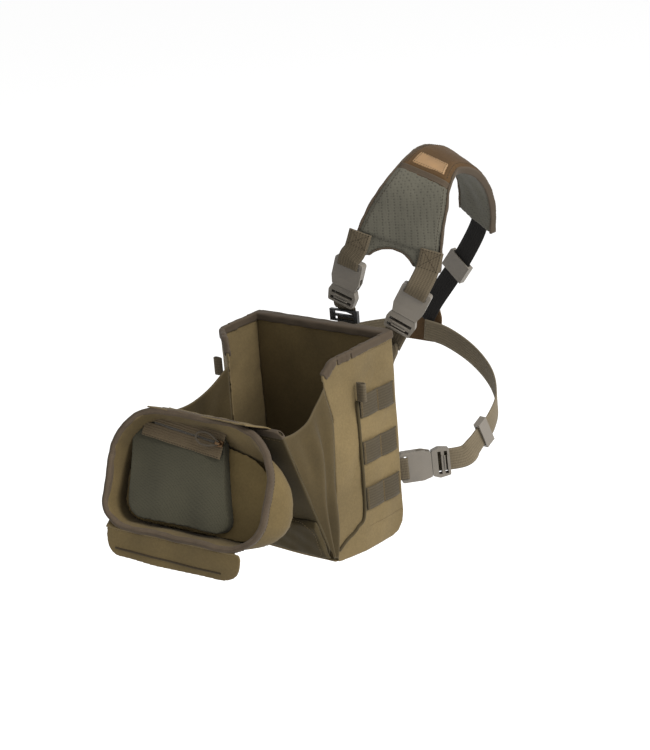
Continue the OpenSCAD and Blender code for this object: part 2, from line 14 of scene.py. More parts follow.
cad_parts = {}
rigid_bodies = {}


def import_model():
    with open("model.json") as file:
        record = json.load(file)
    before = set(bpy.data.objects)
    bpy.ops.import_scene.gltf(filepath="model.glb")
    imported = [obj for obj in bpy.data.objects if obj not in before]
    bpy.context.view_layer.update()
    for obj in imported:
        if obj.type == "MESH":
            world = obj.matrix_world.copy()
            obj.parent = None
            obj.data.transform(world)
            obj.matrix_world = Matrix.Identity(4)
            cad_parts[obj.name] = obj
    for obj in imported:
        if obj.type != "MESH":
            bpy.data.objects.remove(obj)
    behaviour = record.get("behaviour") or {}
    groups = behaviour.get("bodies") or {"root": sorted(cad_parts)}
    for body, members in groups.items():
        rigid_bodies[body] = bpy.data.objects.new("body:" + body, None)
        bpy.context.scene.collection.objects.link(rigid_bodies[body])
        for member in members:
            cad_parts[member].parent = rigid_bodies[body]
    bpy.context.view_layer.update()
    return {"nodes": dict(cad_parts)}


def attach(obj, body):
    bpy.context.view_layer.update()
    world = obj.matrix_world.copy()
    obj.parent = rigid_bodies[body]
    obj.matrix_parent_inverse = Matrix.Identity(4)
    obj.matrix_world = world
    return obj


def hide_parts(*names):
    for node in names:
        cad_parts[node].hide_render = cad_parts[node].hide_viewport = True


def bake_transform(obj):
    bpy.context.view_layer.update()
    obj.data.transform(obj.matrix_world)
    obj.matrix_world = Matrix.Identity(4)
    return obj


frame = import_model()
MM = 0.001

# ---- Driving sizes, the same as the CAD's ----
HALF_W, BODY_D = 92, 108
SEAM_Y = -66
TURN = {1: 10, -1: 50}
WEB_HALF, WEB_T = 12.5, 1.6
ROW_PITCH, ROW_TOP = 50.8, 172
OPEN_LEAN, PANEL_LEN = 22, 177
STRIP_OPEN, STRIP_LEN = 47, 31
LID_LEN, LID_DEPTH, LID_SLOPE, LID_SHIFT = 126, 42, 38, -2.5
LID_FOLD, LID_PITCH, LID_AXIS = 178, 2, (1, 0, -0.12)
FLAP_REST = 22
POCKET_DEPTH = 16
BUCKLE_T = 9
CORD_D = 2.2
CHEST = np.array([0, -5, -100])  # the pack frame's origin, seen from the row frame's
WORD = {1: "right", -1: "left"}

BUCKLES = {
    "left": ((25.5, 9, 262), (17, -1, 45), (0.15, -1, 0)),
    "right": ((92, 23, 235), (28, 8, 49), (0.4, -0.9, 0)),
    "belt": ((108, 32, 69), (-38, -40, -2), (0.69, -0.72, 0)),
}


def shift(x, y, z):
    return Matrix.Translation((x, y, z))


def turn(axis, degrees):
    return Matrix.Rotation(math.radians(degrees), 4, Vector(axis))


PACK = shift(*CHEST)
FRONT = PACK @ shift(0, -BODY_D, 4) @ turn((1, 0, 0), OPEN_LEAN)
STRIP = FRONT @ shift(0, 0, PANEL_LEN) @ turn((1, 0, 0), STRIP_OPEN)
LID = STRIP @ shift(0, 0, STRIP_LEN) @ turn(LID_AXIS, LID_FOLD) @ turn((1, 0, 0), LID_PITCH)
FLAP = LID @ shift(0, LID_LEN, 0) @ turn((1, 0, 0), FLAP_REST)
ZIP = LID @ shift(20, 24, POCKET_DEPTH) @ turn((0, 0, 1), 6)


def aim(place):
    """The frame of a buckle or slide: z up the strap, -y outward."""
    z = Vector(place[1]).normalized()
    x = (-Vector(place[2])).cross(z).normalized()
    return PACK @ shift(*place[0]) @ Matrix((x, z.cross(x), z)).transposed().to_4x4()


def put(matrix, points):
    """Points in a local frame, in mm, as an array in the row frame, in metres."""
    m = np.array(matrix)
    return (np.asarray(points, float) @ m[:3, :3].T + m[:3, 3]) * MM


def heading(matrix, x, y, z):
    """A direction in a local frame, in the row frame's axes."""
    return np.array(matrix)[:3, :3] @ np.array([x, y, z], float)


def local(matrix, co):
    """Row-frame metres back to a local frame's millimetres."""
    m = np.array(matrix.inverted())
    return (co / MM) @ m[:3, :3].T + m[:3, 3]


# ---- Materials ----
SHADE = 0.42


def linear(rgb):
    """The base colour for a shade as it should look under this studio's light."""
    return [SHADE * (((c / 255 + 0.055) / 1.055) ** 2.4 if c > 10 else c / 255 / 12.92) for c in rgb]


WHITE, BLACK = (1, 1, 1), (0, 0, 0)


def grey(value):
    return (value, value, value)


class Shader:
    """A material's nodes, with short calls for the kinds used here."""

    def __init__(self, name, space="Object"):
        self.material = bpy.data.materials.new(name)
        self.material.use_nodes = True
        self.nodes, self.links = self.material.node_tree.nodes, self.material.node_tree.links
        self.principled = self.nodes["Principled BSDF"]
        self.coords = self.nodes.new("ShaderNodeTexCoord").outputs[space]

    def plug(self, socket, value):
        if isinstance(value, (int, float)):
            socket.default_value = value
        elif isinstance(value, (list, tuple)):
            socket.default_value = (*value, 1)
        else:
            self.links.new(value, socket)

    def set(self, name, value):
        self.plug(self.principled.inputs[name], value)

    def noise(self, scale, detail):
        n = self.nodes.new("ShaderNodeTexNoise")
        n.inputs["Scale"].default_value, n.inputs["Detail"].default_value = scale, detail
        self.links.new(self.coords, n.inputs["Vector"])
        return n.outputs["Fac"]

    def ramp(self, value, *stops):
        r = self.nodes.new("ShaderNodeValToRGB")
        self.links.new(value, r.inputs["Fac"])
        while len(r.color_ramp.elements) < len(stops):
            r.color_ramp.elements.new(0.5)
        for element, (at, colour) in zip(r.color_ramp.elements, stops):
            element.position = at
            element.color = (*colour, 1)
        return r.outputs["Color"]

    def math(self, operation, a, b):
        m = self.nodes.new("ShaderNodeMath")
        m.operation = operation
        self.plug(m.inputs[0], a)
        self.plug(m.inputs[1], b)
        return m.outputs["Value"]

    def wave(self, direction, period, distortion):
        """Bands square to an axis, a period in mm apart."""
        w = self.nodes.new("ShaderNodeTexWave")
        w.bands_direction = direction
        w.inputs["Scale"].default_value = 0.31416 / (period * MM)
        w.inputs["Distortion"].default_value = distortion
        self.links.new(self.coords, w.inputs["Vector"])
        return w.outputs["Fac"]

    def mix(self, factor, a, b, blend="MIX"):
        m = self.nodes.new("ShaderNodeMix")
        m.data_type, m.blend_type = "RGBA", blend
        for socket, value in zip((m.inputs[0], m.inputs[6], m.inputs[7]), (factor, a, b)):
            self.plug(socket, value)
        return m.outputs[2]

    def worn(self, colour, start, end, share, lighter):
        """The colour with its convex edges worn lighter."""
        edges = self.nodes.new("ShaderNodeNewGeometry").outputs["Pointiness"]
        amount = self.math("MULTIPLY", self.ramp(edges, (start, BLACK), (end, WHITE)), share)
        return self.mix(amount, colour, lighter)

    def bump(self, height, strength, distance):
        b = self.nodes.new("ShaderNodeBump")
        b.inputs["Strength"].default_value, b.inputs["Distance"].default_value = strength, distance
        self.links.new(height, b.inputs["Height"])
        self.set("Normal", b.outputs["Normal"])

    def weave(self, period):
        """A plain weave: on each face, the bands of the two axes that run along it."""
        split = self.nodes.new("ShaderNodeSeparateXYZ")
        self.links.new(self.nodes.new("ShaderNodeTexCoord").outputs["Normal"], split.inputs[0])
        height = 0.0
        for k, direction in enumerate("XYZ"):
            facing = self.math("ABSOLUTE", split.outputs[k], 0)
            across = self.math("MAXIMUM", self.math("SUBTRACT", 0.75, facing), 0)
            bands = self.math("MULTIPLY", self.wave(direction, period, 0.6), across)
            height = self.math("ADD", height, bands)
        return self.math("MULTIPLY", height, 0.65)


def fabric(name, rgb, weave=1.0, depth=0.25, patch=0.22, wear=0.35, ribs=None):
    """A woven cloth. ribs is None for a plain weave, or the two periods in mm of a webbing's ribs
    across and along its length, which need UVs in metres."""
    s = Shader(name, "Object" if ribs is None else "UV")
    base = linear(rgb)
    dark = [c * (1 - patch) for c in base]
    light = [min(1, c * (1 + patch * 1.1)) for c in base]
    clouds = s.noise(14, 5)
    colour = s.ramp(clouds, (0.28, dark), (0.52, base), (0.76, light))
    if ribs is None:
        height = s.weave(weave)
    else:
        first, second = (s.wave(d, p, 0.3) for d, p in zip("XY", ribs))
        height = s.math("MULTIPLY", s.math("ADD", first, s.math("MULTIPLY", second, 0.6)), 0.6)
    colour = s.mix(0.75, colour, s.ramp(height, (0.15, grey(0.72)), (0.7, grey(1.06))), "MULTIPLY")
    fuzz = s.noise(420, 2)
    colour = s.mix(0.5, colour, s.ramp(fuzz, (0.35, grey(0.86)), (0.68, grey(1.1))), "MULTIPLY")
    s.set("Base Color", s.worn(colour, 0.505, 0.56, wear, [min(1, c * 1.45 + 0.02) for c in base]))
    s.bump(s.math("ADD", height, s.math("MULTIPLY", fuzz, 0.5)), depth, 0.0005)
    s.set("Roughness", s.ramp(clouds, (0.3, grey(0.78)), (0.7, grey(0.94))))
    s.set("Sheen Weight", 0.04)
    s.set("Sheen Roughness", 0.5)
    s.set("Specular IOR Level", 0.1)
    return s.material


def mesh_cloth(name, rgb, hole):
    """A knitted mesh: a net of small dark holes, that many mm apart, over a dull cloth."""
    s = Shader(name)
    base = linear(rgb)
    cells = s.nodes.new("ShaderNodeTexVoronoi")
    cells.inputs["Scale"].default_value = 1 / (hole * MM)
    cells.inputs["Randomness"].default_value = 0.25
    s.links.new(s.coords, cells.inputs["Vector"])
    holes = cells.outputs["Distance"]
    tone = s.ramp(s.noise(18, 4), (0.3, [c * 0.86 for c in base]), (0.7, [c * 1.16 for c in base]))
    s.set("Base Color", s.mix(0.85, tone, s.ramp(holes, (0.12, grey(0.45)), (0.42, WHITE)), "MULTIPLY"))
    s.bump(holes, 0.35, 0.0006)
    s.set("Roughness", 0.9)
    s.set("Sheen Weight", 0.03)
    s.set("Specular IOR Level", 0.25)
    return s.material


def hard(name, rgb, rough, metallic=0.0, grain=0.12, wear=0.4):
    """Moulded plastic, leather or metal with a fine grain, smudges and brighter edges."""
    s = Shader(name)
    base = linear(rgb)
    smudge = s.noise(60, 4)
    colour = s.ramp(smudge, (0.3, [c * 0.85 for c in base]), (0.7, [c * 1.15 for c in base]))
    s.set("Base Color", s.worn(colour, 0.51, 0.6, wear, [min(1, c * 1.5 + 0.02) for c in base]))
    s.set("Roughness", s.ramp(smudge, (0.3, grey(rough * 0.8)), (0.7, grey(min(1, rough * 1.2)))))
    s.bump(s.noise(1500, 2), grain, 0.0002)
    s.set("Metallic", metallic)
    return s.material


WEB_RIBS = (3.0, 1.7)
CANVAS = fabric("canvas_side", (144, 125, 88))
# The canvas darkened with painted shade, for the front panel, its pouch and the seam cords.
CANVAS_SHADED = fabric("canvas_front_painted_shade", (80, 68, 40))
# The gusset canvas, darkened with painted shade.
CANVAS_GUSSET_SHADED = fabric("canvas_gusset_painted_shade", (98, 84, 56))
CANVAS_LID = fabric("canvas_lid", (128, 110, 74))
CANVAS_PAD = fabric("canvas_pad", (108, 82, 52))
LINER = fabric("canvas_liner", (118, 100, 64), wear=0.1)
BINDING = fabric("grosgrain_binding", (104, 90, 74), ribs=(40.0, 1.3), depth=0.5, wear=0.15)
TAPE = fabric("zipper_tape_weave", (124, 108, 84), ribs=(60.0, 0.9), depth=0.3, patch=0.1, wear=0.3)
# The lid's lining canvas, lightened with painted light against the shade deep in the lid's tray.
LID_LINER_LIT = fabric("canvas_lid_liner_painted_light", (150, 129, 86), wear=0.1)
BELT = fabric("belt_weave", (139, 126, 103), ribs=WEB_RIBS, depth=0.55, wear=0.15)
MOLLE = fabric("molle_weave", (94, 84, 66), ribs=WEB_RIBS, depth=0.55, wear=0.1)
WEBBING = fabric("webbing_weave", (116, 104, 84), ribs=WEB_RIBS, depth=0.55, wear=0.15)
WEBBING_DARK = fabric("webbing_dark_weave", (42, 40, 38), ribs=WEB_RIBS, depth=0.55, wear=0.1)
THREAD = fabric("stitching_thread", (146, 126, 92), weave=0.5, wear=0.0)
THREAD_DARK = fabric("stitching_thread_dark", (80, 68, 50), weave=0.5, wear=0.0)
CORD = fabric("cord_braid", (108, 98, 84), weave=0.8, depth=0.6, wear=0.1)
SPACER = mesh_cloth("spacer_mesh_knit", (108, 105, 92), 3.0)
LID_MESH = mesh_cloth("stretch_mesh_knit", (84, 81, 64), 1.4)
LEATHER = hard("leather_grain", (168, 130, 84), 0.6, grain=0.5, wear=0.5)
PLASTIC = hard("moulded_plastic", (122, 114, 102), 0.5, grain=0.3)
PLASTIC_BLACK = hard("moulded_plastic_black", (34, 34, 34), 0.45, grain=0.3)
METAL = hard("antique_metal", (128, 98, 66), 0.35, metallic=0.9)


# ---- Mesh tools ----
def new_object(name, verts, faces, material, smooth=True, uv=None):
    mesh = bpy.data.meshes.new(name)
    mesh.from_pydata([tuple(v) for v in verts], [], faces)
    if uv is not None:
        layer = mesh.uv_layers.new(name="UVMap")
        for loop in mesh.loops:
            layer.data[loop.index].uv = uv[loop.vertex_index]
    mesh.validate()
    for p in mesh.polygons:
        p.use_smooth = smooth
    obj = bpy.data.objects.new(name, mesh)
    bpy.context.scene.collection.objects.link(obj)
    mesh.materials.append(material)
    return obj


def read(obj):
    co = np.zeros(len(obj.data.vertices) * 3)
    obj.data.vertices.foreach_get("co", co)
    return co.reshape(-1, 3)


def write(obj, co):
    obj.data.vertices.foreach_set("co", co.ravel())
    obj.data.update()


def normals_of(obj):
    n = np.zeros(len(obj.data.vertices) * 3)
    obj.data.vertices.foreach_get("normal", n)
    return n.reshape(-1, 3)


def relax(obj, rounds, share=0.5):
    """Moves each vertex part of the way to the middle of its neighbours."""
    co = read(obj)
    edges = np.zeros(len(obj.data.edges) * 2, int)
    obj.data.edges.foreach_get("vertices", edges)
    edges = edges.reshape(-1, 2)
    count = np.bincount(edges.ravel(), minlength=len(co))[:, None].clip(1)
    for _ in range(rounds):
        total = np.zeros_like(co)
        for a, b in ((0, 1), (1, 0)):
            for k in range(3):
                total[:, k] += np.bincount(edges[:, a], co[edges[:, b], k], len(co))
        co += share * (total / count - co)
    write(obj, co)


def baked(obj, material):
    """Applies every modifier of obj, which keeps its material."""
    bpy.context.view_layer.update()
    graph = bpy.context.evaluated_depsgraph_get()
    mesh = bpy.data.meshes.new_from_object(obj.evaluated_get(graph))
    obj.modifiers.clear()
    old = obj.data
    obj.data = mesh
    if not mesh.materials:
        mesh.materials.append(material)
    bpy.data.meshes.remove(old)
    for p in obj.data.polygons:
        p.use_smooth = True
    return obj


def soft(name, nodes, body, slot, material, voxel, rounds=3, push=None):
    """A soft piece grown from the closed CAD solids of its nodes: remeshed, its edges rounded, then
    pushed by push(co, normals), which gives an offset in mm for each vertex."""
    verts, faces = [], []
    for node in nodes:
        data = frame["nodes"][node].data
        start = len(verts)
        verts += [v.co.copy() for v in data.vertices]
        faces += [[start + i for i in p.vertices] for p in data.polygons]
    obj = new_object(name, verts, faces, material)
    weld = obj.modifiers.new("weld", "WELD")
    weld.merge_threshold = 0.00001
    remesh = obj.modifiers.new("remesh", "REMESH")
    remesh.mode = "VOXEL"
    remesh.voxel_size = voxel * MM
    baked(obj, material)
    relax(obj, rounds)
    if push is not None:
        co = read(obj)
        write(obj, co + push(co, normals_of(obj)) * MM)
        relax(obj, 1, 0.4)
    return dressed(obj, body, slot, *nodes)


def folds(co, along, wavelength, seed, spread=0.5, count=7):
    """A smooth field of soft folds that run mainly along one direction, about -1 to 1."""
    pick = np.random.default_rng(seed)
    along = np.array(along, float) / np.linalg.norm(along)
    total = np.zeros(len(co))
    for _ in range(count):
        k = pick.normal(size=3)
        k -= (1 - spread) * (k @ along) * along
        k *= 2 * math.pi / (wavelength * pick.uniform(0.6, 1.7)) / np.linalg.norm(k)
        warp = 0.8 * np.sin(co / MM @ pick.normal(size=3) * 0.02 + pick.uniform(0, 6))
        total += np.sin(co / MM @ k + pick.uniform(0, 6.28) + warp)
    return total / math.sqrt(count)


def ridge(co, a, b, width):
    """1 on the segment from a to b, in metres, and 0 more than a few widths, in mm, away."""
    a, b = np.array(a), np.array(b)
    t = np.clip(((co - a) @ (b - a)) / ((b - a) @ (b - a)), 0, 1)
    d = np.linalg.norm(co - a - t[:, None] * (b - a), axis=1) / MM
    return np.exp(-((d / width) ** 2))


def glide(stations, n=8):
    """A smooth curve through stations, n steps between neighbours."""
    s = np.array(stations, float)
    out = []
    for i in range(len(s) - 1):
        a, b, c, d = s[max(i - 1, 0)], s[i], s[i + 1], s[min(i + 2, len(s) - 1)]
        for j in range(n):
            t = j / n
            out.append(0.5 * (2 * b + (c - a) * t + (2 * a - 5 * b + 4 * c - d) * t * t
                              + (3 * b - a - 3 * c + d) * t ** 3))
    out.append(s[-1])
    return np.array(out)


def unit(v):
    return v / np.linalg.norm(v, axis=-1, keepdims=True).clip(1e-9)


def run_of(path):
    """The length along a path up to each of its points."""
    return np.concatenate([[0], np.cumsum(np.linalg.norm(np.diff(path, axis=0), axis=1))])


def stack(x, y, z):
    """Points from three coordinates, any of which may be one number."""
    return np.column_stack(np.broadcast_arrays(*(np.asarray(c, float) for c in (x, y, z))))


def tube_faces(start, size, count, closed=False):
    """The faces of a tube of count rings of size points, and its two ends."""
    faces = [[start + i * size + j, start + i * size + (j + 1) % size,
              start + (i + 1) % count * size + (j + 1) % size, start + (i + 1) % count * size + j]
             for i in range(count if closed else count - 1) for j in range(size)]
    if closed:
        return faces
    last = start + (count - 1) * size
    return faces + [list(range(start, start + size))[::-1], list(range(last, last + size))]


def along_of(path, closed=False):
    if closed:
        return unit(np.roll(path, -1, 0) - np.roll(path, 1, 0))
    return unit(np.gradient(path, axis=0))


def sweep(name, path, out, profile, material, closed=False):
    """Sweeps a closed profile [across, outward] along a path; all in mm in the row frame's axes."""
    path = np.array(path, float)
    out = np.broadcast_to(np.array(out, float), path.shape)
    along = along_of(path, closed)
    across = unit(np.cross(along, out))
    out = np.cross(across, along)
    verts = [p + a * u + o * v for p, a, o in zip(path, across, out) for u, v in profile]
    uv = [(g * MM, r * MM) for r in run_of(path) for g in run_of(np.array(profile, float))]
    faces = tube_faces(0, len(profile), len(path), closed)
    obj = new_object(name, np.array(verts) * MM, faces, material, uv=uv)
    fix_normals(obj)
    return obj


def fix_normals(obj):
    b = bmesh.new()
    b.from_mesh(obj.data)
    bmesh.ops.recalc_face_normals(b, faces=b.faces)
    b.to_mesh(obj.data)
    b.free()


def flat_profile(half, low, high, edge=0.45):
    """The outline of a strap: flat faces and rounded edges."""
    top = [(u, high) for u in np.linspace(-half + edge, half - edge, 8)]
    bottom = [(-u, low) for u, _ in top]
    middle = (low + high) / 2
    return top + [(half, middle)] + bottom + [(-half, middle)]


def round_profile(r, n):
    return [(r * math.cos(2 * math.pi * i / n), r * math.sin(2 * math.pi * i / n)) for i in range(n)]


def box_profile(half_a, half_b, r, n=4):
    """A rounded rectangle."""
    points = []
    for ca, cb, start in ((1, 1, 0), (-1, 1, 90), (-1, -1, 180), (1, -1, 270)):
        for i in range(n + 1):
            t = math.radians(start + 90 * i / n)
            points.append((ca * (half_a - r) + r * math.cos(t), cb * (half_b - r) + r * math.sin(t)))
    return points


def dressed(obj, body, slot, *nodes):
    """Hides a piece's CAD nodes and ties it to its body; slot is not used."""
    if nodes:
        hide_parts(*nodes)
    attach(obj, body)
    return obj


def strap(name, stations, low, material, slot, node):
    """A strap through stations [x, y, z, half width, outward x, y, z] in the pack frame."""
    s = glide(stations)
    profile = flat_profile(WEB_HALF, low, low + WEB_T, edge=0.4)
    obj = sweep(name, pack_points(s[:, :3]), s[:, 4:7], profile, material)
    return dressed(obj, "pack_body", slot, node)


def rounded(points, radii, n=8):
    """A closed flat outline with every corner rounded."""
    p = np.array(points, float)
    k = len(p)
    radii = radii if isinstance(radii, (list, tuple)) else [radii] * k
    out = []
    for i in range(k):
        a, b, c, r = p[i - 1], p[i], p[(i + 1) % k], radii[i]
        u, w = unit(a - b), unit(c - b)
        half = math.acos(float(np.clip(u @ w, -1, 1))) / 2
        o = b + unit(u + w) * r / math.sin(half)
        s, e = b + u * r / math.tan(half) - o, b + w * r / math.tan(half) - o
        first = math.degrees(math.atan2(s[1], s[0]))
        sweep_by = (math.degrees(math.atan2(e[1], e[0])) - first + 540) % 360 - 180
        for j in range(n + 1):
            t = math.radians(first + sweep_by * j / n)
            out.append(o + r * np.array([math.cos(t), math.sin(t)]))
    return np.array(out)


def evenly(points, step, closed=False):
    """Points a fixed step apart along a path."""
    p = np.array(points, float)
    if closed:
        p = np.vstack([p, p[:1]])
    run = run_of(p)
    n = max(2, int(round(run[-1] / step)) + 1)
    at = np.linspace(0, run[-1], n)
    q = np.column_stack([np.interp(at, run, p[:, k]) for k in range(3)])
    return q[:-1] if closed else q


def surface(obj):
    """A tree for projecting points on the shown surface of a piece."""
    verts = [obj.matrix_world @ v.co for v in obj.data.vertices]
    return BVHTree.FromPolygons(verts, [list(p.vertices) for p in obj.data.polygons])


STITCHES = {}


def stitch(group, path, out, tree, pitch=3.4, length=2.3, thick=0.34, lift=0.12):
    """A row of stitches along a path, in mm in the row frame's axes, laid on the surface in tree."""
    path = evenly(path, pitch)
    along = along_of(path)
    out = np.array(out, float).reshape(-1, 3)
    out = out[np.linspace(0, len(out) - 1, len(path)).astype(int)]
    verts, faces = STITCHES.setdefault(group, ([], []))
    for p, a, o in zip(path, along, unit(out)):
        place, normal = tree.ray_cast(Vector((p + o * 12) * MM), Vector(-o), 0.03)[:2]
        if place is None:
            continue
        p, o = np.array(place) / MM, np.array(normal)
        a = unit(a - (a @ o) * o)
        c = np.cross(a, o)
        start = len(verts)
        q = p + o * lift
        for s, w in ((-0.5, 0.4), (-0.3, 1), (0.3, 1), (0.5, 0.4)):
            for x, y in ((1, -0.3), (0, 0.8), (-1, -0.3)):
                verts.append((q + a * s * length + (c * x + o * y) * thick * w) * MM)
        faces += tube_faces(start, 3, 4)


def flush_stitches():
    """Makes one piece of each group of stitches."""
    for (name, body, slot, material), (verts, faces) in STITCHES.items():
        dressed(new_object(name, verts, faces, material), body, slot)


def grid(name, rows, thickness, material, body=None, slot=None):
    """A cloth sheet through rows of points in mm in the row frame's axes, given a thickness."""
    rows = np.array(rows, float)
    r, c = rows.shape[:2]
    verts = rows.reshape(-1, 3) * MM
    faces = [[i * c + j, i * c + j + 1, (i + 1) * c + j + 1, (i + 1) * c + j]
             for i in range(r - 1) for j in range(c - 1)]
    uv = [(rows[i, :, 0][j] * MM, i * 2 * MM) for i in range(r) for j in range(c)]
    obj = new_object(name, verts, faces, material, uv=uv)
    thick = obj.modifiers.new("thickness", "SOLIDIFY")
    thick.thickness = thickness * MM
    thick.offset = 0
    baked(obj, material)
    return dressed(obj, body, slot) if body else obj


def smoothstep(t):
    t = np.clip(t, 0, 1)
    return t * t * (3 - 2 * t)


def hump(t):
    """0 at 0 and 1, and 1 halfway."""
    return np.sin(np.clip(t, 0, 1) * math.pi)


def crown(t):
    """1 at 0, falling to 0 at -1 and 1."""
    return np.cos(np.clip(t, -1, 1) * math.pi / 2)


def pack_points(points):
    """Points in the pack frame, in mm, in the row frame's axes."""
    return np.array(points, float) + CHEST


def pack_vector(*point):
    """A point in the pack frame as a vector in metres in the row frame."""
    return Vector(pack_points(point) * MM)


# ---- Camera, light and floor ----
def add_camera():
    azimuth, elevation, roll = (math.radians(a) for a in (40.8, 17.7, -4.6))
    target = Vector((47, -65, 87)) * MM
    back = Vector((math.sin(azimuth) * math.cos(elevation), -math.cos(azimuth) * math.cos(elevation),
                   math.sin(elevation)))
    data = bpy.data.cameras.new("camera")
    data.lens, data.sensor_width = 87.8, 36
    data.clip_start, data.clip_end = 0.05, 50
    camera = bpy.data.objects.new("camera", data)
    bpy.context.scene.collection.objects.link(camera)
    turned = (-back).to_track_quat("-Z", "Y").to_matrix().to_4x4() @ Matrix.Rotation(roll, 4, "Z")
    camera.matrix_world = Matrix.Translation(target + back * 1.9) @ turned
    bpy.context.scene.camera = camera


def add_light(name, place, size, power, colour=(1, 1, 1)):
    data = bpy.data.lights.new(name, "AREA")
    data.size, data.energy, data.color = size, power, colour
    light = bpy.data.objects.new(name, data)
    bpy.context.scene.collection.objects.link(light)
    light.location = place
    light.rotation_euler = (Vector((0, -0.05, 0.05)) - Vector(place)).to_track_quat("-Z", "Y").to_euler()


def add_studio():
    world = bpy.data.worlds.new("studio")
    bpy.context.scene.world = world
    world.use_nodes = True
    world.node_tree.nodes["Background"].inputs["Color"].default_value = (1, 1, 1, 1)
    world.node_tree.nodes["Background"].inputs["Strength"].default_value = 1.0
    add_light("key", (2.4, 0.1, 1.9), 1.5, 130, (1, 0.98, 0.95))
    add_light("fill", (-1.6, -2.2, 1.4), 2.2, 1)
    paint = Shader("floor_paint")
    paint.set("Base Color", grey(0.97))
    paint.set("Roughness", 1.0)
    paint.set("Specular IOR Level", 0.0)
    reach, drop = 40, -0.62
    corners = [(x * reach, y * reach, drop) for x, y in ((-1, -1), (1, -1), (1, 1), (-1, 1))]
    new_object("floor", corners, [[0, 1, 2, 3]], paint.material)
    bpy.context.scene.view_settings.view_transform = "Standard"


add_camera()
add_studio()


# ---- Webbing, straps and bindings ----
def box_x(group, tree, corners, out):
    """The box with a cross in it that holds a strap, through four corners in mm."""
    a, b, c, d = (np.array(p, float) for p in corners)
    for s, e in ((a, b), (b, c), (c, d), (d, a), (a, c), (b, d)):
        stitch(group, [s, e], out, tree, pitch=3.0, length=2.1, thick=0.32)


def strap_on(place, start, end, depth):
    """Stations along a buckle's or slide's axis."""
    z, out = unit(np.array(place[1], float)), unit(np.array(place[2], float))
    return [[*(np.array(place[0]) + s * z - depth * out), WEB_HALF, *out] for s in (start, end)]


def on_strap(stations, share, across=0.0):
    """A point in mm in the row frame's axes on a strap, and its outward direction."""
    s = glide(stations)
    path = pack_points(s[:, :3])
    run = run_of(path)
    at = share * run[-1]
    p = np.array([np.interp(at, run, path[:, k]) for k in range(3)])
    out = unit(np.array([np.interp(at, run, s[:, 4 + k]) for k in range(3)]))
    i = int(np.clip(np.searchsorted(run, at), 1, len(run) - 1))
    return p + unit(np.cross(unit(path[i] - path[i - 1]), out)) * across, out


H = WEB_HALF
leg_left = strap_on(BUCKLES["left"], 25.5, 37, -4.9) + [
    [46, 5.5, 305, H, .3, -.95, .05], [54, 7, 325, H, .41, -.9, .05]]
leg_right = strap_on(BUCKLES["right"], 25.5, 37, -4.9) + [
    [117, 34, 284, H, .42, -.9, .05], [122, 38, 304, H, .42, -.9, .07]]
rear = [[80, 186.5, 312, H, .25, .95, .1], [71, 188, 288, H, .2, .97, .05], [50, 190, 256, H, .15, .98, 0],
        [26, 192, 226, H, .1, .99, 0], [2, 192, 196, H, .05, 1, 0], [-14, 192, 172, H, 0, 1, 0]]
belt_right = strap_on(BUCKLES["belt"], -4, -36, 6.6) + [
    [133.6, 74, 79, H, .96, -.25, 0], [136, 86, 88, H, 1, -.05, 0], [136.5, 104, 97, H, .99, .1, 0],
    [126, 132, 110, H, .85, .5, 0], [100, 160, 126, H, .6, .8, 0], [62, 180, 142, H, .35, .93, 0],
    [20, 190, 155, H, .1, .99, 0], [-12, 191, 160, H, 0, 1, 0]]
belt_left = [[-86, 3, 70, H, -.5, -.86, 0], [-112, 19, 73, H, -.6, -.8, 0], [-142, 42, 81, H, -.7, -.7, 0],
             [-166, 68, 91, H, -.88, -.45, 0], [-176, 98, 104, H, -1, 0, 0],
              [-165, 132, 120, H, -.88, .45, 0],
             [-136, 160, 136, H, -.6, .8, 0], [-94, 180, 149, H, -.3, .95, 0], [-40, 191, 160, H, 0, 1, 0]]
belt_stub = [[72, 2.1, 67.5, H, 0, -1, 0], [79, 2.1, 67.7, H, 0, -1, 0]]
belt_stub += strap_on(BUCKLES["belt"], 35, 25.5, -4.9)
anchor_left = strap_on(BUCKLES["left"], -4, -24, 6.6) + [
    [14.8, 23, 234.6, H, 0, -1, .1], [13.4, 23.6, 229, H, 0, -1, 0]]
anchor_right = strap_on(BUCKLES["right"], -4, -41, 7.6) + [
    [72, 14.5, 193, H, .3, -.95, .1], [76, 2.8, 182, H, 0, -1, .2], [76, 2.2, 174, H, 0, -1, 0]]
ring_tab = [[13, 23.4, 225, H, 0, -1, 0], [13, 23, 217, H, 0, -.95, .3], [13, 2.4, 201, H, 0, -.95, .3],
            [13, 2.1, 184, H, 0, -1, 0]]


def add_straps():
    for name, stations, material, node in (
            ("webbing_leg_left", leg_left, WEBBING, "leg_webbing_left"),
            ("webbing_leg_right", leg_right, WEBBING, "leg_webbing_right"),
            ("webbing_rear", rear, WEBBING_DARK, "rear_webbing"),
            ("belt_webbing_right", belt_right, BELT, "belt_right"),
            ("belt_webbing_left", belt_left, BELT, "belt_left"),
            ("webbing_anchor_left", anchor_left, WEBBING, "anchor_webbing_left"),
            ("webbing_anchor_right", anchor_right, WEBBING, "anchor_webbing_right")):
        is_rear = stations is rear
        slot = "webbing_dark" if is_rear else "webbing_tan"
        strap(name, stations, 2 if is_rear else 0, material, slot, node)
    for name, stations, node in (("belt_tail", belt_stub, "belt_stub"),
                                 ("ring_tab_webbing", ring_tab, "ring_tab")):
        s = np.array(stations, float)
        path = evenly(pack_points(s[:, :3]), 2)
        run = run_of(s[:, :3])
        at = np.linspace(0, run[-1], len(path))
        outs = np.column_stack([np.interp(at, run, s[:, 4 + k]) for k in range(3)])
        obj = sweep(name, path, outs, flat_profile(WEB_HALF, 0, WEB_T), WEBBING)
        dressed(obj, "pack_body", "webbing_tan", node)


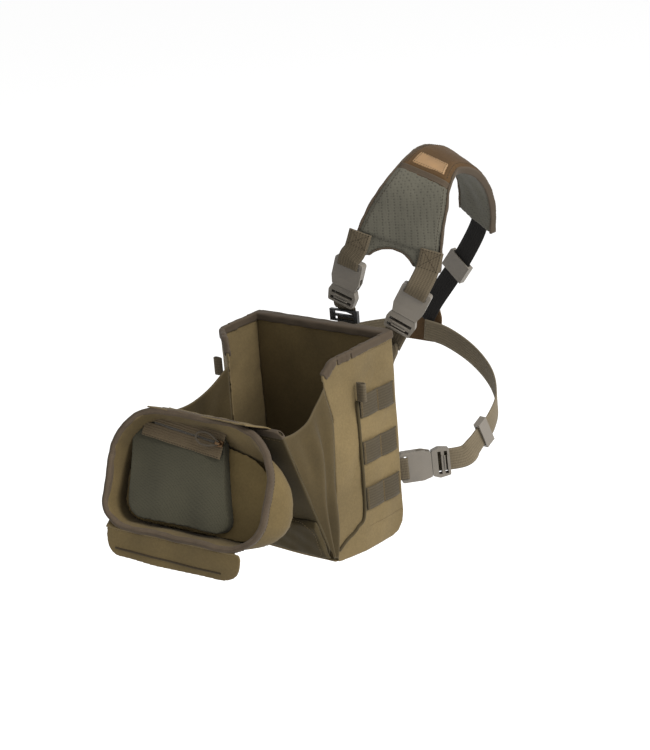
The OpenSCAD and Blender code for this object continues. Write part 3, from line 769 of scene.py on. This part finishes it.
# ---- The main body ----
def wall_point(side, y, z, proud=0.0):
    """A point on a side wall's outer face: y runs along the wall, which turns in before its seam."""
    t = math.radians(TURN[side])
    over = max(0, SEAM_Y - y)
    x, y = HALF_W - over * math.sin(t) + proud, y if over == 0 else SEAM_Y - over * math.cos(t)
    return side * x, y, z


def add_walls():
    for side, seed in ((1, 3), (-1, 5)):
        def push(co, n, side=side, seed=seed):
            p = local(PACK, co)
            middle = hump((p[:, 2] - 5) / 200) * hump(-p[:, 1] / -SEAM_Y)
            f = np.minimum(folds(co, (0, 0.35, 1), 46, seed, spread=0.35), 0.2)
            f += 0.5 * middle * np.sign(n[:, 0] * side)
            low, high = (pack_vector(side * HALF_W, SEAM_Y, z) for z in (30, 190))
            seam = ridge(co, low, high, 5)
            return n * (f * np.abs(n[:, 0]) ** 2 - seam * 0.5)[:, None]
        soft("side_canvas_" + WORD[side], ["side_panel_" + WORD[side]], "pack_body", "waxed_canvas",
             CANVAS, 1.3, push=push)


def add_body():
    add_walls()

    def base_push(co, n):
        return n * (folds(co, (1, 0, 0), 40, 11) * 0.5)[:, None]
    soft("base_canvas", ["bottom_panel"], "pack_body", "waxed_canvas", CANVAS, 1.4, push=base_push)

    def back_push(co, n):
        p = local(PACK, co)
        inner = (n[:, 1] < -0.3) * hump((p[:, 2] - 20) / 200) * crown(p[:, 0] / 90) * 1.4
        return n * (folds(co, (0.2, 0, 1), 50, 13) * 0.5 + inner)[:, None]
    back = soft("back_padding", ["back_liner", "back_foam", "back_shell"], "pack_body", "canvas_shade",
                LINER, 1.5, push=back_push)

    def pad_push(co, n):
        p = local(PACK, co)
        rib = 0.5 * np.cos(p[:, 2] / 146 * 4 * 2 * math.pi)
        return n * (rib * (n[:, 1] > 0.4) + folds(co, (1, 0, 0), 34, 17) * 0.3)[:, None]
    pad = soft("chest_padding", ["chest_mesh_pad"], "pack_body", "spacer_mesh", SPACER, 1.5,
               push=pad_push)

    def rim_push(co, n):
        return n * (folds(co, (0, 1, 0), 16, 19) * 0.25 + 0.8)[:, None]
    soft("rim_tape", ["rim_binding"], "pack_body", "grosgrain", BINDING, 1.1, push=rim_push)

    corners = [(SEAM_Y, 167), (SEAM_Y, 52), (-78, 31), (-94, 22), (-105, 14)]
    line = glide([[y, z, 0] for y, z in corners], 10)[:, :2]
    for side in (1, -1):
        points = pack_points([wall_point(side, y, z, 0.7) for y, z in line])
        piping = sweep("seam_cord_" + WORD[side], points, unit(np.array([side, -0.35, 0])),
                       round_profile(1.7, 12), CANVAS_SHADED)
        dressed(piping, "pack_body", "canvas_shade", *(["seam_piping"] if side > 0 else []))
    add_molle()


def add_molle():
    """Three rows of webbing down each side, tacked down at every cell, and the loop above them."""
    back, length, n = -6, 56, 64
    for side in (1, -1):
        group = ("tacks_" + WORD[side], "pack_body", "webbing_tan", THREAD)
        for i in range(3):
            top = ROW_TOP - ROW_PITCH * i
            middle = top - WEB_HALF
            u = np.linspace(0, 1, n)
            bow = 0.35 + 1.7 * np.abs(np.sin(2 * math.pi * u)) ** 0.8
            path = pack_points(stack(side * HALF_W + side * bow, back - length * u, middle))
            row = sweep(f"molle_row_{WORD[side]}_{i + 1}", path, (side, 0, 0),
                        flat_profile(WEB_HALF, -0.2, 1.2), MOLLE)
            co = read(row)
            p = local(PACK, co)
            sag = 0.5 * np.sin((p[:, 1] - back) / length * math.pi * 2) * (p[:, 2] - middle) / WEB_HALF
            co[:, 0] += side * sag * 0.6 * MM
            write(row, co)
            dressed(row, "pack_body", "webbing_tan", *(["molle_webbing_" + WORD[side]] if i == 0 else []))
            tree = surface(row)
            for y in (-6.8, -8.2, -33.4, -34.6, -60, -61.2):
                ends = [(side * HALF_W, y, top - 1.6), (side * HALF_W, y, top - 23.4)]
                stitch(group, pack_points(ends), (side, 0, 0), tree, pitch=1.2, length=1.0, thick=0.5)
    t = np.linspace(0, 2 * math.pi, 60, endpoint=False)
    for side in (1, -1):
        y = SEAM_Y + 2.5 * np.sin(t) * (1 + 0.4 * np.cos(t))
        path = pack_points(stack(side * (99.1 + 5.8 * np.cos(t)), y, 178))
        outs = stack(side * np.cos(t) * 0.6, np.sin(t) * 1.4, 0)
        loop = sweep("web_loop_" + WORD[side], path, outs, flat_profile(10, -1.3, 0.1), WEBBING, closed=True)
        dressed(loop, "pack_body", "webbing_tan", *(["tab_loops"] if side > 0 else []))


# ---- Gussets and hinge cloth, laid between two bodies ----
def add_gussets():
    """Loose cloth between the side walls' front edges and the edges of the front panel."""
    wall_edge = [(-106, 6), (-104.5, 30), (-102, 80), (-98.5, 130), (-98.5, 156), (-105, 184), (-107, 195)]
    across, up = 46, 70
    for side, seed in ((1, 23), (-1, 29)):
        a = glide([[*wall_point(side, y, z, -1.5), 0] for y, z in wall_edge], 12)[:, :3]
        a = evenly(a, np.linalg.norm(np.diff(a, axis=0), axis=1).sum() / up)[:up]
        v = np.linspace(0, 1, len(a))
        b = local(PACK, put(FRONT, stack(side * 82.5, -0.6, 3 + 166 * v)))
        u = np.linspace(0, 1, across)[None, :, None]
        rows = a[:, None] * (1 - u) + b[:, None] * u
        w, uu = v[:, None], u[:, :, 0]
        bow = np.sin(math.pi * uu) * hump(w * 0.92 + 0.06)
        pick = np.random.default_rng(seed)
        crease = 0
        for _ in range(7):
            slant, rate, phase = pick.uniform(-0.1, 0.7), pick.uniform(7, 17), pick.uniform(0, 6.28)
            crease = crease + np.sin(rate * (uu + slant * w) + phase) * pick.uniform(0.5, 1.2)
        rows[:, :, 0] += side * (bow * 7 + bow * crease * 2.1)
        rows[:, :, 1] += bow * crease * 1.0
        rows[:, :, 2] -= 17 * np.sin(math.pi * uu) * w ** 3 * 0.7
        obj = grid("gusset_cloth_" + WORD[side], pack_points(rows), 1.3, CANVAS_GUSSET_SHADED)
        relax(obj, 1)
        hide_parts("gusset_" + WORD[side])
        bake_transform(obj)


def hinge_rows(curve, widths, wave, seed):
    """Rows of points across the hinge cloth, along a curve of local points [frame, y, z]."""
    n = 70
    x = np.linspace(-1, 1, n)
    phase = np.random.default_rng(seed).uniform(0, 6.28, 5)
    rows = np.array([put(m, stack(x * w, y, z)) / MM for (m, y, z), w in zip(curve, widths)])
    fine = np.array([glide(rows[:, j], 6) for j in range(n)]).transpose(1, 0, 2)
    u = np.linspace(0, 1, len(fine))[:, None]
    bump = sum(np.sin(x[None, :] * (7 + 4 * k) + phase[k] + u * 2) for k in range(5)) / 3
    fine[:, :, 1] += wave * bump * np.sin(math.pi * u)
    fine[:, :, 2] += 0.6 * wave * bump * np.sin(math.pi * u)
    return fine


def add_hinge_cloth():
    low = hinge_rows([(FRONT, 0.6, 164), (FRONT, 0.6, 172), (STRIP, 0, 2), (STRIP, 0, 8), (STRIP, 0, 16)],
                     [74, 73, 68, 64, 61], wave=0.5, seed=31)
    a = grid("hinge_cloth_lower", low, 1.4, CANVAS_LID)
    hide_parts("hinge_strip")
    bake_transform(a)
    high = hinge_rows([(STRIP, 0, 14), (STRIP, 0, 22), (STRIP, 0.2, 28), (LID, -0.2, 0.5), (LID, 0.3, 5)],
                      [61.6, 60, 60, 60, 60], wave=0.5, seed=33)
    b = grid("hinge_cloth_upper", high, 1.4, CANVAS_LID)
    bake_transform(b)


# ---- Front panel ----
def add_front():
    def panel_push(co, n):
        p = local(FRONT, co)
        belly = crown(p[:, 0] / 84) * hump(p[:, 2] / 176)
        return n * (folds(co, (0.2, 0, 1), 48, 37) * 0.5 + 0.8 * belly * (n[:, 1] < 0))[:, None]
    soft("front_canvas", ["front_panel"], "front_panel", "canvas_shade", CANVAS_SHADED, 1.3,
         push=panel_push)

    def pocket_push(co, n):
        p = local(FRONT, co)
        belly = crown(p[:, 0] / 82) * hump((p[:, 2] - 4) / 54)
        return n * (folds(co, (0.1, 0, 1), 22, 39) * 0.6 + 1.2 * belly * (p[:, 1] < -7))[:, None]
    soft("front_pouch", ["front_pocket"], "front_panel", "canvas_shade", CANVAS_SHADED, 1.2,
         push=pocket_push)
    soft("front_tape", ["front_binding"], "front_panel", "grosgrain", BINDING, 0.9,
         push=lambda co, n: n * (folds(co, (0, 0, 1), 20, 41) * 0.3)[:, None])


# ---- Lid ----
def lid_outline(inset, z):
    """The lid's outline at a depth z, drawn in by inset."""
    x = HALF_W - inset
    points = [[-x, inset + 1], [x, inset + 1 + LID_SLOPE * z / LID_DEPTH],
              [x, LID_LEN - inset], [-x, LID_LEN - inset]]
    points = [[p[0] + LID_SHIFT, p[1]] for p in points]
    return rounded(points, [r - 0.8 * inset for r in (52, 54, 40, 30)], 10)


def lid_ring(inset, depth, z, step):
    """The outline at a depth, evenly stepped and laid at a height z."""
    return evenly(stack(*lid_outline(inset, depth).T, z), step, closed=True)


def outward_of(ring):
    """The directions out of a flat ring of points."""
    out = np.cross(along_of(ring, True), [0, 0, 1])
    return out if np.mean(np.sum(out * (ring - ring.mean(0)), axis=1)) >= 0 else -out


def at_height(path, axis, value):
    """A copy of a path with one coordinate set."""
    moved = path.copy()
    moved[:, axis] = value
    return moved


def add_lid():
    m = np.array(LID)[:3, :3]
    f_m = np.array(FLAP)[:3, :3]
    off_zip, off_flap = heading(ZIP, 0, 0, -1), heading(FLAP, 0, 0, -1)

    def shell_push(co, n):
        p = local(LID, co)
        side = 1 - np.abs((n @ m)[:, 2])
        bulge = 1.8 * hump(p[:, 2] / LID_DEPTH) * side
        f = folds(co, tuple(m @ np.array([0, 0, 1.0])), 34, 43, spread=0.5) * 0.6
        crease = 0.8 * np.exp(-((p[:, 2] - 38) / 1.6) ** 2) * side
        pulled = 15 * smoothstep(p[:, 2] / 36) * smoothstep((p[:, 0] - 30) / 55)
        pulled = pulled * smoothstep((p[:, 1] - 4) / 30)
        return n * (f + bulge - crease)[:, None] + heading(LID, 1, 0, 0.06) * pulled[:, None]
    shell = soft("lid_canvas", ["lid_shell"], "lid", "canvas_warm", CANVAS_LID, 1.3, push=shell_push)

    def padding_push(co, n):
        return n * (folds(co, (1, 0.2, 0), 40, 47) * 0.6)[:, None]
    lining = soft("lid_padding", ["lid_foam", "lid_lining"], "lid", "canvas_warm", LID_LINER_LIT, 1.4,
                  push=padding_push)

    def mesh_push(co, n):
        p = local(LID, co)
        front = (n @ m)[:, 2] < -0.4
        sagging = smoothstep((p[:, 1] - 20) / 80) * crown((p[:, 0] + 20) / 80)
        waves = folds(co, tuple(m @ np.array([0.25, 1, 0])), 30, 53, spread=0.3) * 1.7
        left = smoothstep((20 - p[:, 0]) / 90) * smoothstep((p[:, 1] - 30) / 60)
        lift = heading(LID, 0, 0, -1) * ((3.5 * sagging + 5 * left) * front)[:, None]
        return n * (waves * front)[:, None] + lift
    soft("lid_mesh_pouch", ["mesh_pocket"], "lid", "lid_mesh", LID_MESH, 1.2, push=mesh_push)

    path = lid_ring(0.6, 0, 3.7, 2.2)
    t = np.arange(len(path))
    wobble = 0.35 * np.sin(t * 0.31) + 0.25 * np.sin(t * 0.53 + 1) + 0.2 * np.sin(t * 0.97 + 2)
    out = outward_of(path)
    path = path + out * (0.4 * np.sin(t * 0.29 + 0.5) + 0.15 * np.sin(t * 0.61))[:, None]
    path = path + np.array([0, 0, 1]) * wobble[:, None]
    rim = sweep("lid_rim_roll", put(LID, path) / MM, out @ m.T, box_profile(4.5, 3.3, 3.0), BINDING,
                closed=True)
    dressed(rim, "lid", "grosgrain", "lid_binding")

    stitch(("lid_rim_stitches", "lid", "grosgrain", THREAD_DARK), put(LID, at_height(path, 2, 5.9)) / MM,
           out @ m.T, surface(rim), lift=0.05)
    shell_tree = surface(shell)
    seam = lid_ring(4.5, LID_DEPTH, 36.0, 2)
    for z in (34.2, 40.4):
        stitch(("lid_wall_stitches", "lid", "canvas_warm", THREAD), put(LID, at_height(seam, 2, z)) / MM,
               outward_of(seam) @ m.T, shell_tree)

    for word, lo, hi, x0 in (("upper", -13.5, -1.2, -84), ("lower", 1.2, 15.5, -90)):
        is_upper = word == "upper"
        x = np.linspace(x0, 4, 70)
        mid, half = (lo + hi) / 2, (hi - lo) / 2
        wave = 0.35 * np.sin(x * 0.13 + (0 if is_upper else 2)) + 0.25 * np.sin(x * 0.29)
        path = stack(x, mid + wave * 0.4, 0.9 + wave * 0.5)
        ribs = []
        for i in range(46):
            u = -half + 2 * half * i / 45
            ribs.append((u, 0.75 + 0.5 * abs(math.sin(math.pi * (u + half) / 2.6)) ** 0.7))
        ribs += [(half, 0), (half - 0.5, -0.35), (-half + 0.5, -0.35), (-half, 0)]
        tape = sweep("zipper_tape_" + word, put(ZIP, path) / MM, off_zip, ribs, TAPE)
        dressed(tape, "lid", "webbing_tan", *(["zipper_tapes"] if is_upper else []))
        line = at_height(path, 1, mid + (-(half - 0.9) if is_upper else (half - 0.9)))
        stitch(("zipper_stitches", "lid", "webbing_tan", THREAD_DARK), put(ZIP, line) / MM, off_zip,
               surface(tape), lift=0.08)

    verts, faces = [], []
    for i in range(62):
        x = -78 + 1.28 * i
        for s in (-1, 1):
            off = 0.64 if s > 0 else 0
            ring = []
            for y, z in ((2.1 * s, 0.85), (1.5 * s, 0.35), (0.2 * s, 0.25), (-0.6 * s, 0.5)):
                for k in range(5):
                    a = 2 * math.pi * k / 5
                    ring.append((x + off + 0.46 * math.cos(a), y, z + 0.33 * math.sin(a)))
            faces += tube_faces(len(verts), 5, 4)
            verts += ring
    plastic = hard("zipper_teeth_plastic", (74, 66, 52), 0.45)
    teeth = new_object("zipper_teeth", put(ZIP, verts), faces, plastic)
    fix_normals(teeth)
    dressed(teeth, "lid", "acetal", "zipper_coil")

    route = [[0, 1.4, -4.2], [-4, 2.8, -4.4], [-10, 5, -4.8], [-18, 5.4, -5], [-24, 2.6, -5],
             [-26, -1.6, -5], [-23, -5.6, -5.2], [-16, -7.4, -5.4], [-10, -6.6, -5.2], [-6, -4.8, -4.8],
             [-3, -3, -4.4], [0, -1.4, -4.2]]
    line = put(ZIP, glide([[*p, 0] for p in route], 6)[:, :3])
    curve = bpy.data.curves.new("pull_loop", "CURVE")
    curve.dimensions = "3D"
    spline = curve.splines.new("POLY")
    spline.points.add(len(line) - 1)
    for point, p in zip(spline.points, line):
        point.co = (*p, 1)
    curve.bevel_depth = CORD_D / 2 * MM
    curve.bevel_resolution = 3
    curve.use_fill_caps = True
    curve.materials.append(CORD)
    loop = bpy.data.objects.new("pull_loop", curve)
    bpy.context.scene.collection.objects.link(loop)
    dressed(loop, "zipper_slider", "paracord", "pull_cord")

    def flap_push(co, _):
        p = local(FLAP, co)
        curl = 2.2 * smoothstep((p[:, 1] - 14) / 20) * np.sin((p[:, 0] + 86) / 172 * math.pi * 1.6 + 0.4)
        wave = folds(co, tuple(f_m @ np.array([0.15, 1, 0])), 44, 59, spread=0.3) * 0.7
        wider = 8 * smoothstep((p[:, 0] - 20) / 40) * smoothstep((p[:, 1] + 9) / 18)
        longer = 3 * smoothstep(p[:, 1] / 34)
        moved = np.column_stack([wider, longer, -(curl + wave * smoothstep(p[:, 1] / 12))])
        return moved @ f_m.T
    flap = soft("lid_flap_cloth", ["lid_flap"], "lid_flap", "canvas_warm", CANVAS_LID, 0.9,
                push=flap_push)
    flap_tree = surface(flap)
    edge = lid_ring(0.5, 0, 0, 1)
    rows = []
    for x in np.linspace(-87, 62, 76):
        near = edge[(np.abs(edge[:, 0] - x) < 2) & (edge[:, 1] > 60)]
        top = near[:, 1].max() if len(near) else 104
        steps = np.linspace(LID_LEN + 2.6, top - 1.5, 5)
        rows.append([(x, y, 1.5 + 2.2 * k) for k, y in enumerate(steps)])
    rows = put(LID, np.array(rows).reshape(-1, 3)).reshape(-1, 5, 3) / MM
    grid("flap_root", rows, 1.4, CANVAS_LID, "lid", "canvas_warm")
    x = np.linspace(-76, 46, 60)
    drop = np.interp(x, [-76, 46], [24, 28])
    points = put(FLAP, stack(x, drop + 0.5 * np.sin(x * 0.08), -6))
    laid = []
    down = Vector(heading(FLAP, 0, 0, 1))
    for p in points:
        place = flap_tree.ray_cast(Vector(p), down, 0.03)[0]
        laid.append(np.array(p if place is None else place) / MM)
    piping = sweep("flap_cord", laid, off_flap, round_profile(1.1, 10), THREAD_DARK)
    dressed(piping, "lid_flap", "canvas_shade", "flap_piping")
    stitch(("flap_stitches", "lid_flap", "canvas_warm", THREAD), put(FLAP, stack(x, 4.5, -2)) / MM,
           off_flap, flap_tree)


# ---- Shoulder harness ----
shoulder = [
    [80, 30, 291, 48, .41, -.91, .05], [85, 33, 312, 45, .43, -.9, .07],
    [92.5, 37, 336, 40.5, .45, -.87, .12], [101, 43, 358, 35, .5, -.8, .2],
    [105, 54, 375, 29, .45, -.56, .58], [103, 80, 386, 25, .42, -.05, .88],
    [102, 112, 379, 26, .4, .4, .82], [97, 142, 358, 27, .35, .75, .5],
    [88, 164, 330, 28, .3, .9, .2], [77, 178, 300, 27, .25, .95, .05]]


def add_shoulder():
    s = glide(shoulder, 4)
    centre = pack_points(s[:, :3])
    out = unit(s[:, 4:7])

    def push(co, n):
        p = co / MM
        d = np.linalg.norm(p[:, None, :] - centre[None, :, :], axis=2)
        i = d.argmin(1)
        face = np.sum(n * out[i], axis=1)
        side = unit(np.cross(along_of(centre)[i], out[i]))
        u = np.abs(np.sum((p - centre[i]) * side, axis=1)) / s[i, 3]
        puff = 1.6 * np.cos(np.clip(u, 0, 1) * math.pi / 2) ** 0.7 * (face > 0.3)
        pillow = -0.5 * np.exp(-((i - 16) / 0.6) ** 2) * (face > 0.3)
        return n * (0.9 + puff + pillow + folds(co, (0, 0.3, 1), 30, 61) * 0.45)[:, None]
    pad = soft("shoulder_pad", ["shoulder_foam", "shoulder_mesh", "shoulder_canvas"], "pack_body",
               "spacer_mesh", SPACER, 1.4, push=push)
    pad.data.materials.append(CANVAS_PAD)
    co = read(pad) / MM
    i = np.linalg.norm(co[:, None, :] - centre[None, :, :], axis=2).argmin(1)
    for p in pad.data.polygons:
        upper = i[p.vertices[0]] >= 16
        p.material_index = 1 if upper and np.dot(np.array(p.normal), out[i[p.vertices[0]]]) > -0.5 else 0

    soft("shoulder_tape", ["shoulder_binding"], "pack_body", "grosgrain", BINDING, 1.0, rounds=2,
         push=lambda c, n: n * (0.25 + folds(c, (0, 0.3, 1), 14, 67) * 0.25)[:, None])

    tree = surface(pad)
    row = unit(np.cross(along_of(centre), out))
    ends = [centre[16] + row[16] * u * (s[16, 3] - 1.5) + out[16] * 9 for u in np.linspace(-1, 1, 30)]
    laid = []
    for p in ends:
        hit = tree.ray_cast(Vector(p + out[16] * 6) * MM, Vector(-out[16]), 0.03)
        laid.append((np.array(hit[0]) / MM if hit[0] is not None else p) + out[16] * 0.1)
    cross = sweep("pad_seam_tape", laid, out[16], flat_profile(3.4, -0.4, 0.9), BINDING)
    dressed(cross, "pack_body", "grosgrain")

    patch = soft("leather_label", ["leather_patch"], "pack_body", "leather", LEATHER, 0.8, rounds=2,
                 push=lambda c, n: n * (1.3 + folds(c, (1, 0, 0), 30, 71) * 0.2)[:, None])
    patch_tree = surface(patch)
    lo, hi = 17 + 0.25, 19 - 0.25
    corners = []
    for at, u in ((lo, -1), (lo, 1), (hi, 1), (hi, -1), (lo, -1)):
        k = int(at)
        t = at - k
        c = centre[k] * (1 - t) + centre[k + 1] * t
        w = (s[k, 3] * (1 - t) + s[k + 1, 3] * t) - 10 - 1.6
        r = unit(row[k] * (1 - t) + row[k + 1] * t)
        o = unit(out[k] * (1 - t) + out[k + 1] * t)
        corners.append((c + r * u * w + o * 9, o))
    for (a, oa), (b, ob) in zip(corners, corners[1:]):
        stitch(("label_stitches", "pack_body", "leather", THREAD), [a, b], np.array([oa, ob]), patch_tree,
               pitch=2.6, length=1.7, thick=0.3)

    group = ("pad_stitches", "pack_body", "grosgrain", THREAD_DARK)
    for side in (-1, 1):
        for first, last in ((1, 15), (17, 36)):
            line = [centre[k] + row[k] * side * (s[k, 3] - 5.2) + out[k] * 10 for k in range(first, last + 1)]
            stitch(group, line, out[first:last + 1], tree)
    junction = soft("rear_patch", ["rear_junction"], "pack_body", "canvas_warm", CANVAS_PAD, 0.8, rounds=2,
                    push=lambda c, n: n * (folds(c, (1, 0, 0), 24, 73) * 0.2)[:, None])
    jt = surface(junction)
    ring = rounded([[-31, -15], [29, -15], [31, 12], [28, 27], [6, 27], [-31, 3]], 4)
    path = stack(ring[:, 0] - 24, 202.0, ring[:, 1] + 162)
    path = np.vstack([path, path[:1]])
    stitch(("rear_stitches", "pack_body", "canvas_warm", THREAD), pack_points(path), (0, 1, 0), jt)


# ---- Buckles, slides and the ring, which stay CAD ----
def dress_hard():
    other = {"belt_slide": PLASTIC, "rear_slide": PLASTIC, "top_ring": PLASTIC_BLACK, "zipper_slider": METAL}
    for node, obj in frame["nodes"].items():
        if node.startswith(("buckle_", "release_")) or node in other:
            material = other.get(node, PLASTIC)
            obj.data.materials.clear()
            obj.data.materials.append(material)
            bevel = obj.modifiers.new("edges", "BEVEL")
            bevel.width = (0.25 if node == "zipper_slider" else 0.55) * MM
            bevel.segments = 3
            bevel.limit_method = "ANGLE"
            bevel.angle_limit = math.radians(35)
            for p in obj.data.polygons:
                p.use_smooth = True
            sharp = obj.modifiers.new("shade", "EDGE_SPLIT")
            sharp.split_angle = math.radians(50)
    for word, place in BUCKLES.items():
        m = aim(place)
        verts, faces = [], []
        for i in range(3):
            z = -17.5 + 3.2 * i
            ring = box_profile(8.5, 0.75, 0.7, 3)
            faces += tube_faces(len(verts), len(ring), 3)
            for height, s in ((-0.4, 1.0), (0.35, 1.0), (0.75, 0.8)):
                verts += [(p[0] * (1 - (1 - s) * 0.1), -BUCKLE_T / 2 - height, z + p[1] * s) for p in ring]
        grips = new_object("grip_bars_" + word, put(m, verts), faces, PLASTIC, smooth=False)
        fix_normals(grips)
        dressed(grips, "plug_" + word, "acetal")


# ---- Build ----
add_lid()
add_body()
add_gussets()
add_front()
add_hinge_cloth()
add_straps()
add_shoulder()
dress_hard()


def strap_corners(stations, first, last, half=9.5):
    """The corners of a box on a strap, between two shares of its length."""
    return [on_strap(stations, share, u)[0]
            for share, u in ((first, -half), (first, half), (last, half), (last, -half))]


def add_strap_stitching():
    """Crossed boxes of stitches where the legs and the belt are sewn down."""
    shown = {o.name: o for o in bpy.context.scene.objects}
    for word, stations in (("left", leg_left), ("right", leg_right)):
        tree = surface(shown["webbing_leg_" + word])
        far = on_strap(stations, 1.0)
        corners = strap_corners(stations, 0.62, 0.97)
        box_x(("leg_stitches_" + word, "pack_body", "webbing_tan", THREAD_DARK), tree, corners, far[1])
    tree = surface(shown["belt_webbing_right"])
    box_x(("belt_stitches", "pack_body", "webbing_tan", THREAD_DARK), tree,
          strap_corners(belt_right, 0.015, 0.05), on_strap(belt_right, 0.03)[1])


add_strap_stitching()


def add_seams():
    """Rows of stitching along the main seams of the body."""
    shown = {o.name: o for o in bpy.context.scene.objects}
    for side in (1, -1):
        tree = surface(shown["side_canvas_" + WORD[side]])
        group = ("wall_stitches_" + WORD[side], "pack_body", "waxed_canvas", THREAD)
        for line in ([(SEAM_Y + 3.4, 168), (SEAM_Y + 3.4, 54), (-75, 35), (-91, 25)], [(-4, 26), (-58, 26)],
                     [(-3, 214), (-56, 213)]):
            fine = glide([[y, z, 0] for y, z in line], 8)[:, :2]
            stitch(group, pack_points([(side * 93, y, z) for y, z in fine]), (side, 0, 0), tree)
    tree = surface(shown["front_pouch"])
    ring = rounded([[-78, 8], [78, 8], [78, 54], [-78, 54]], 14)
    path = put(FRONT, [(x, -10, z) for x, z in np.vstack([ring, ring[:1]])]) / MM
    stitch(("pouch_stitches", "front_panel", "canvas_shade", THREAD), path,
           heading(FRONT, 0, -1, 0), tree)
    tree = surface(shown["front_canvas"])
    line = put(FRONT, [(x, -10, 165) for x in np.linspace(-78, 78, 20)]) / MM
    stitch(("panel_stitches", "front_panel", "canvas_shade", THREAD), line,
           heading(FRONT, 0, -1, 0), tree)


add_seams()
flush_stitches()
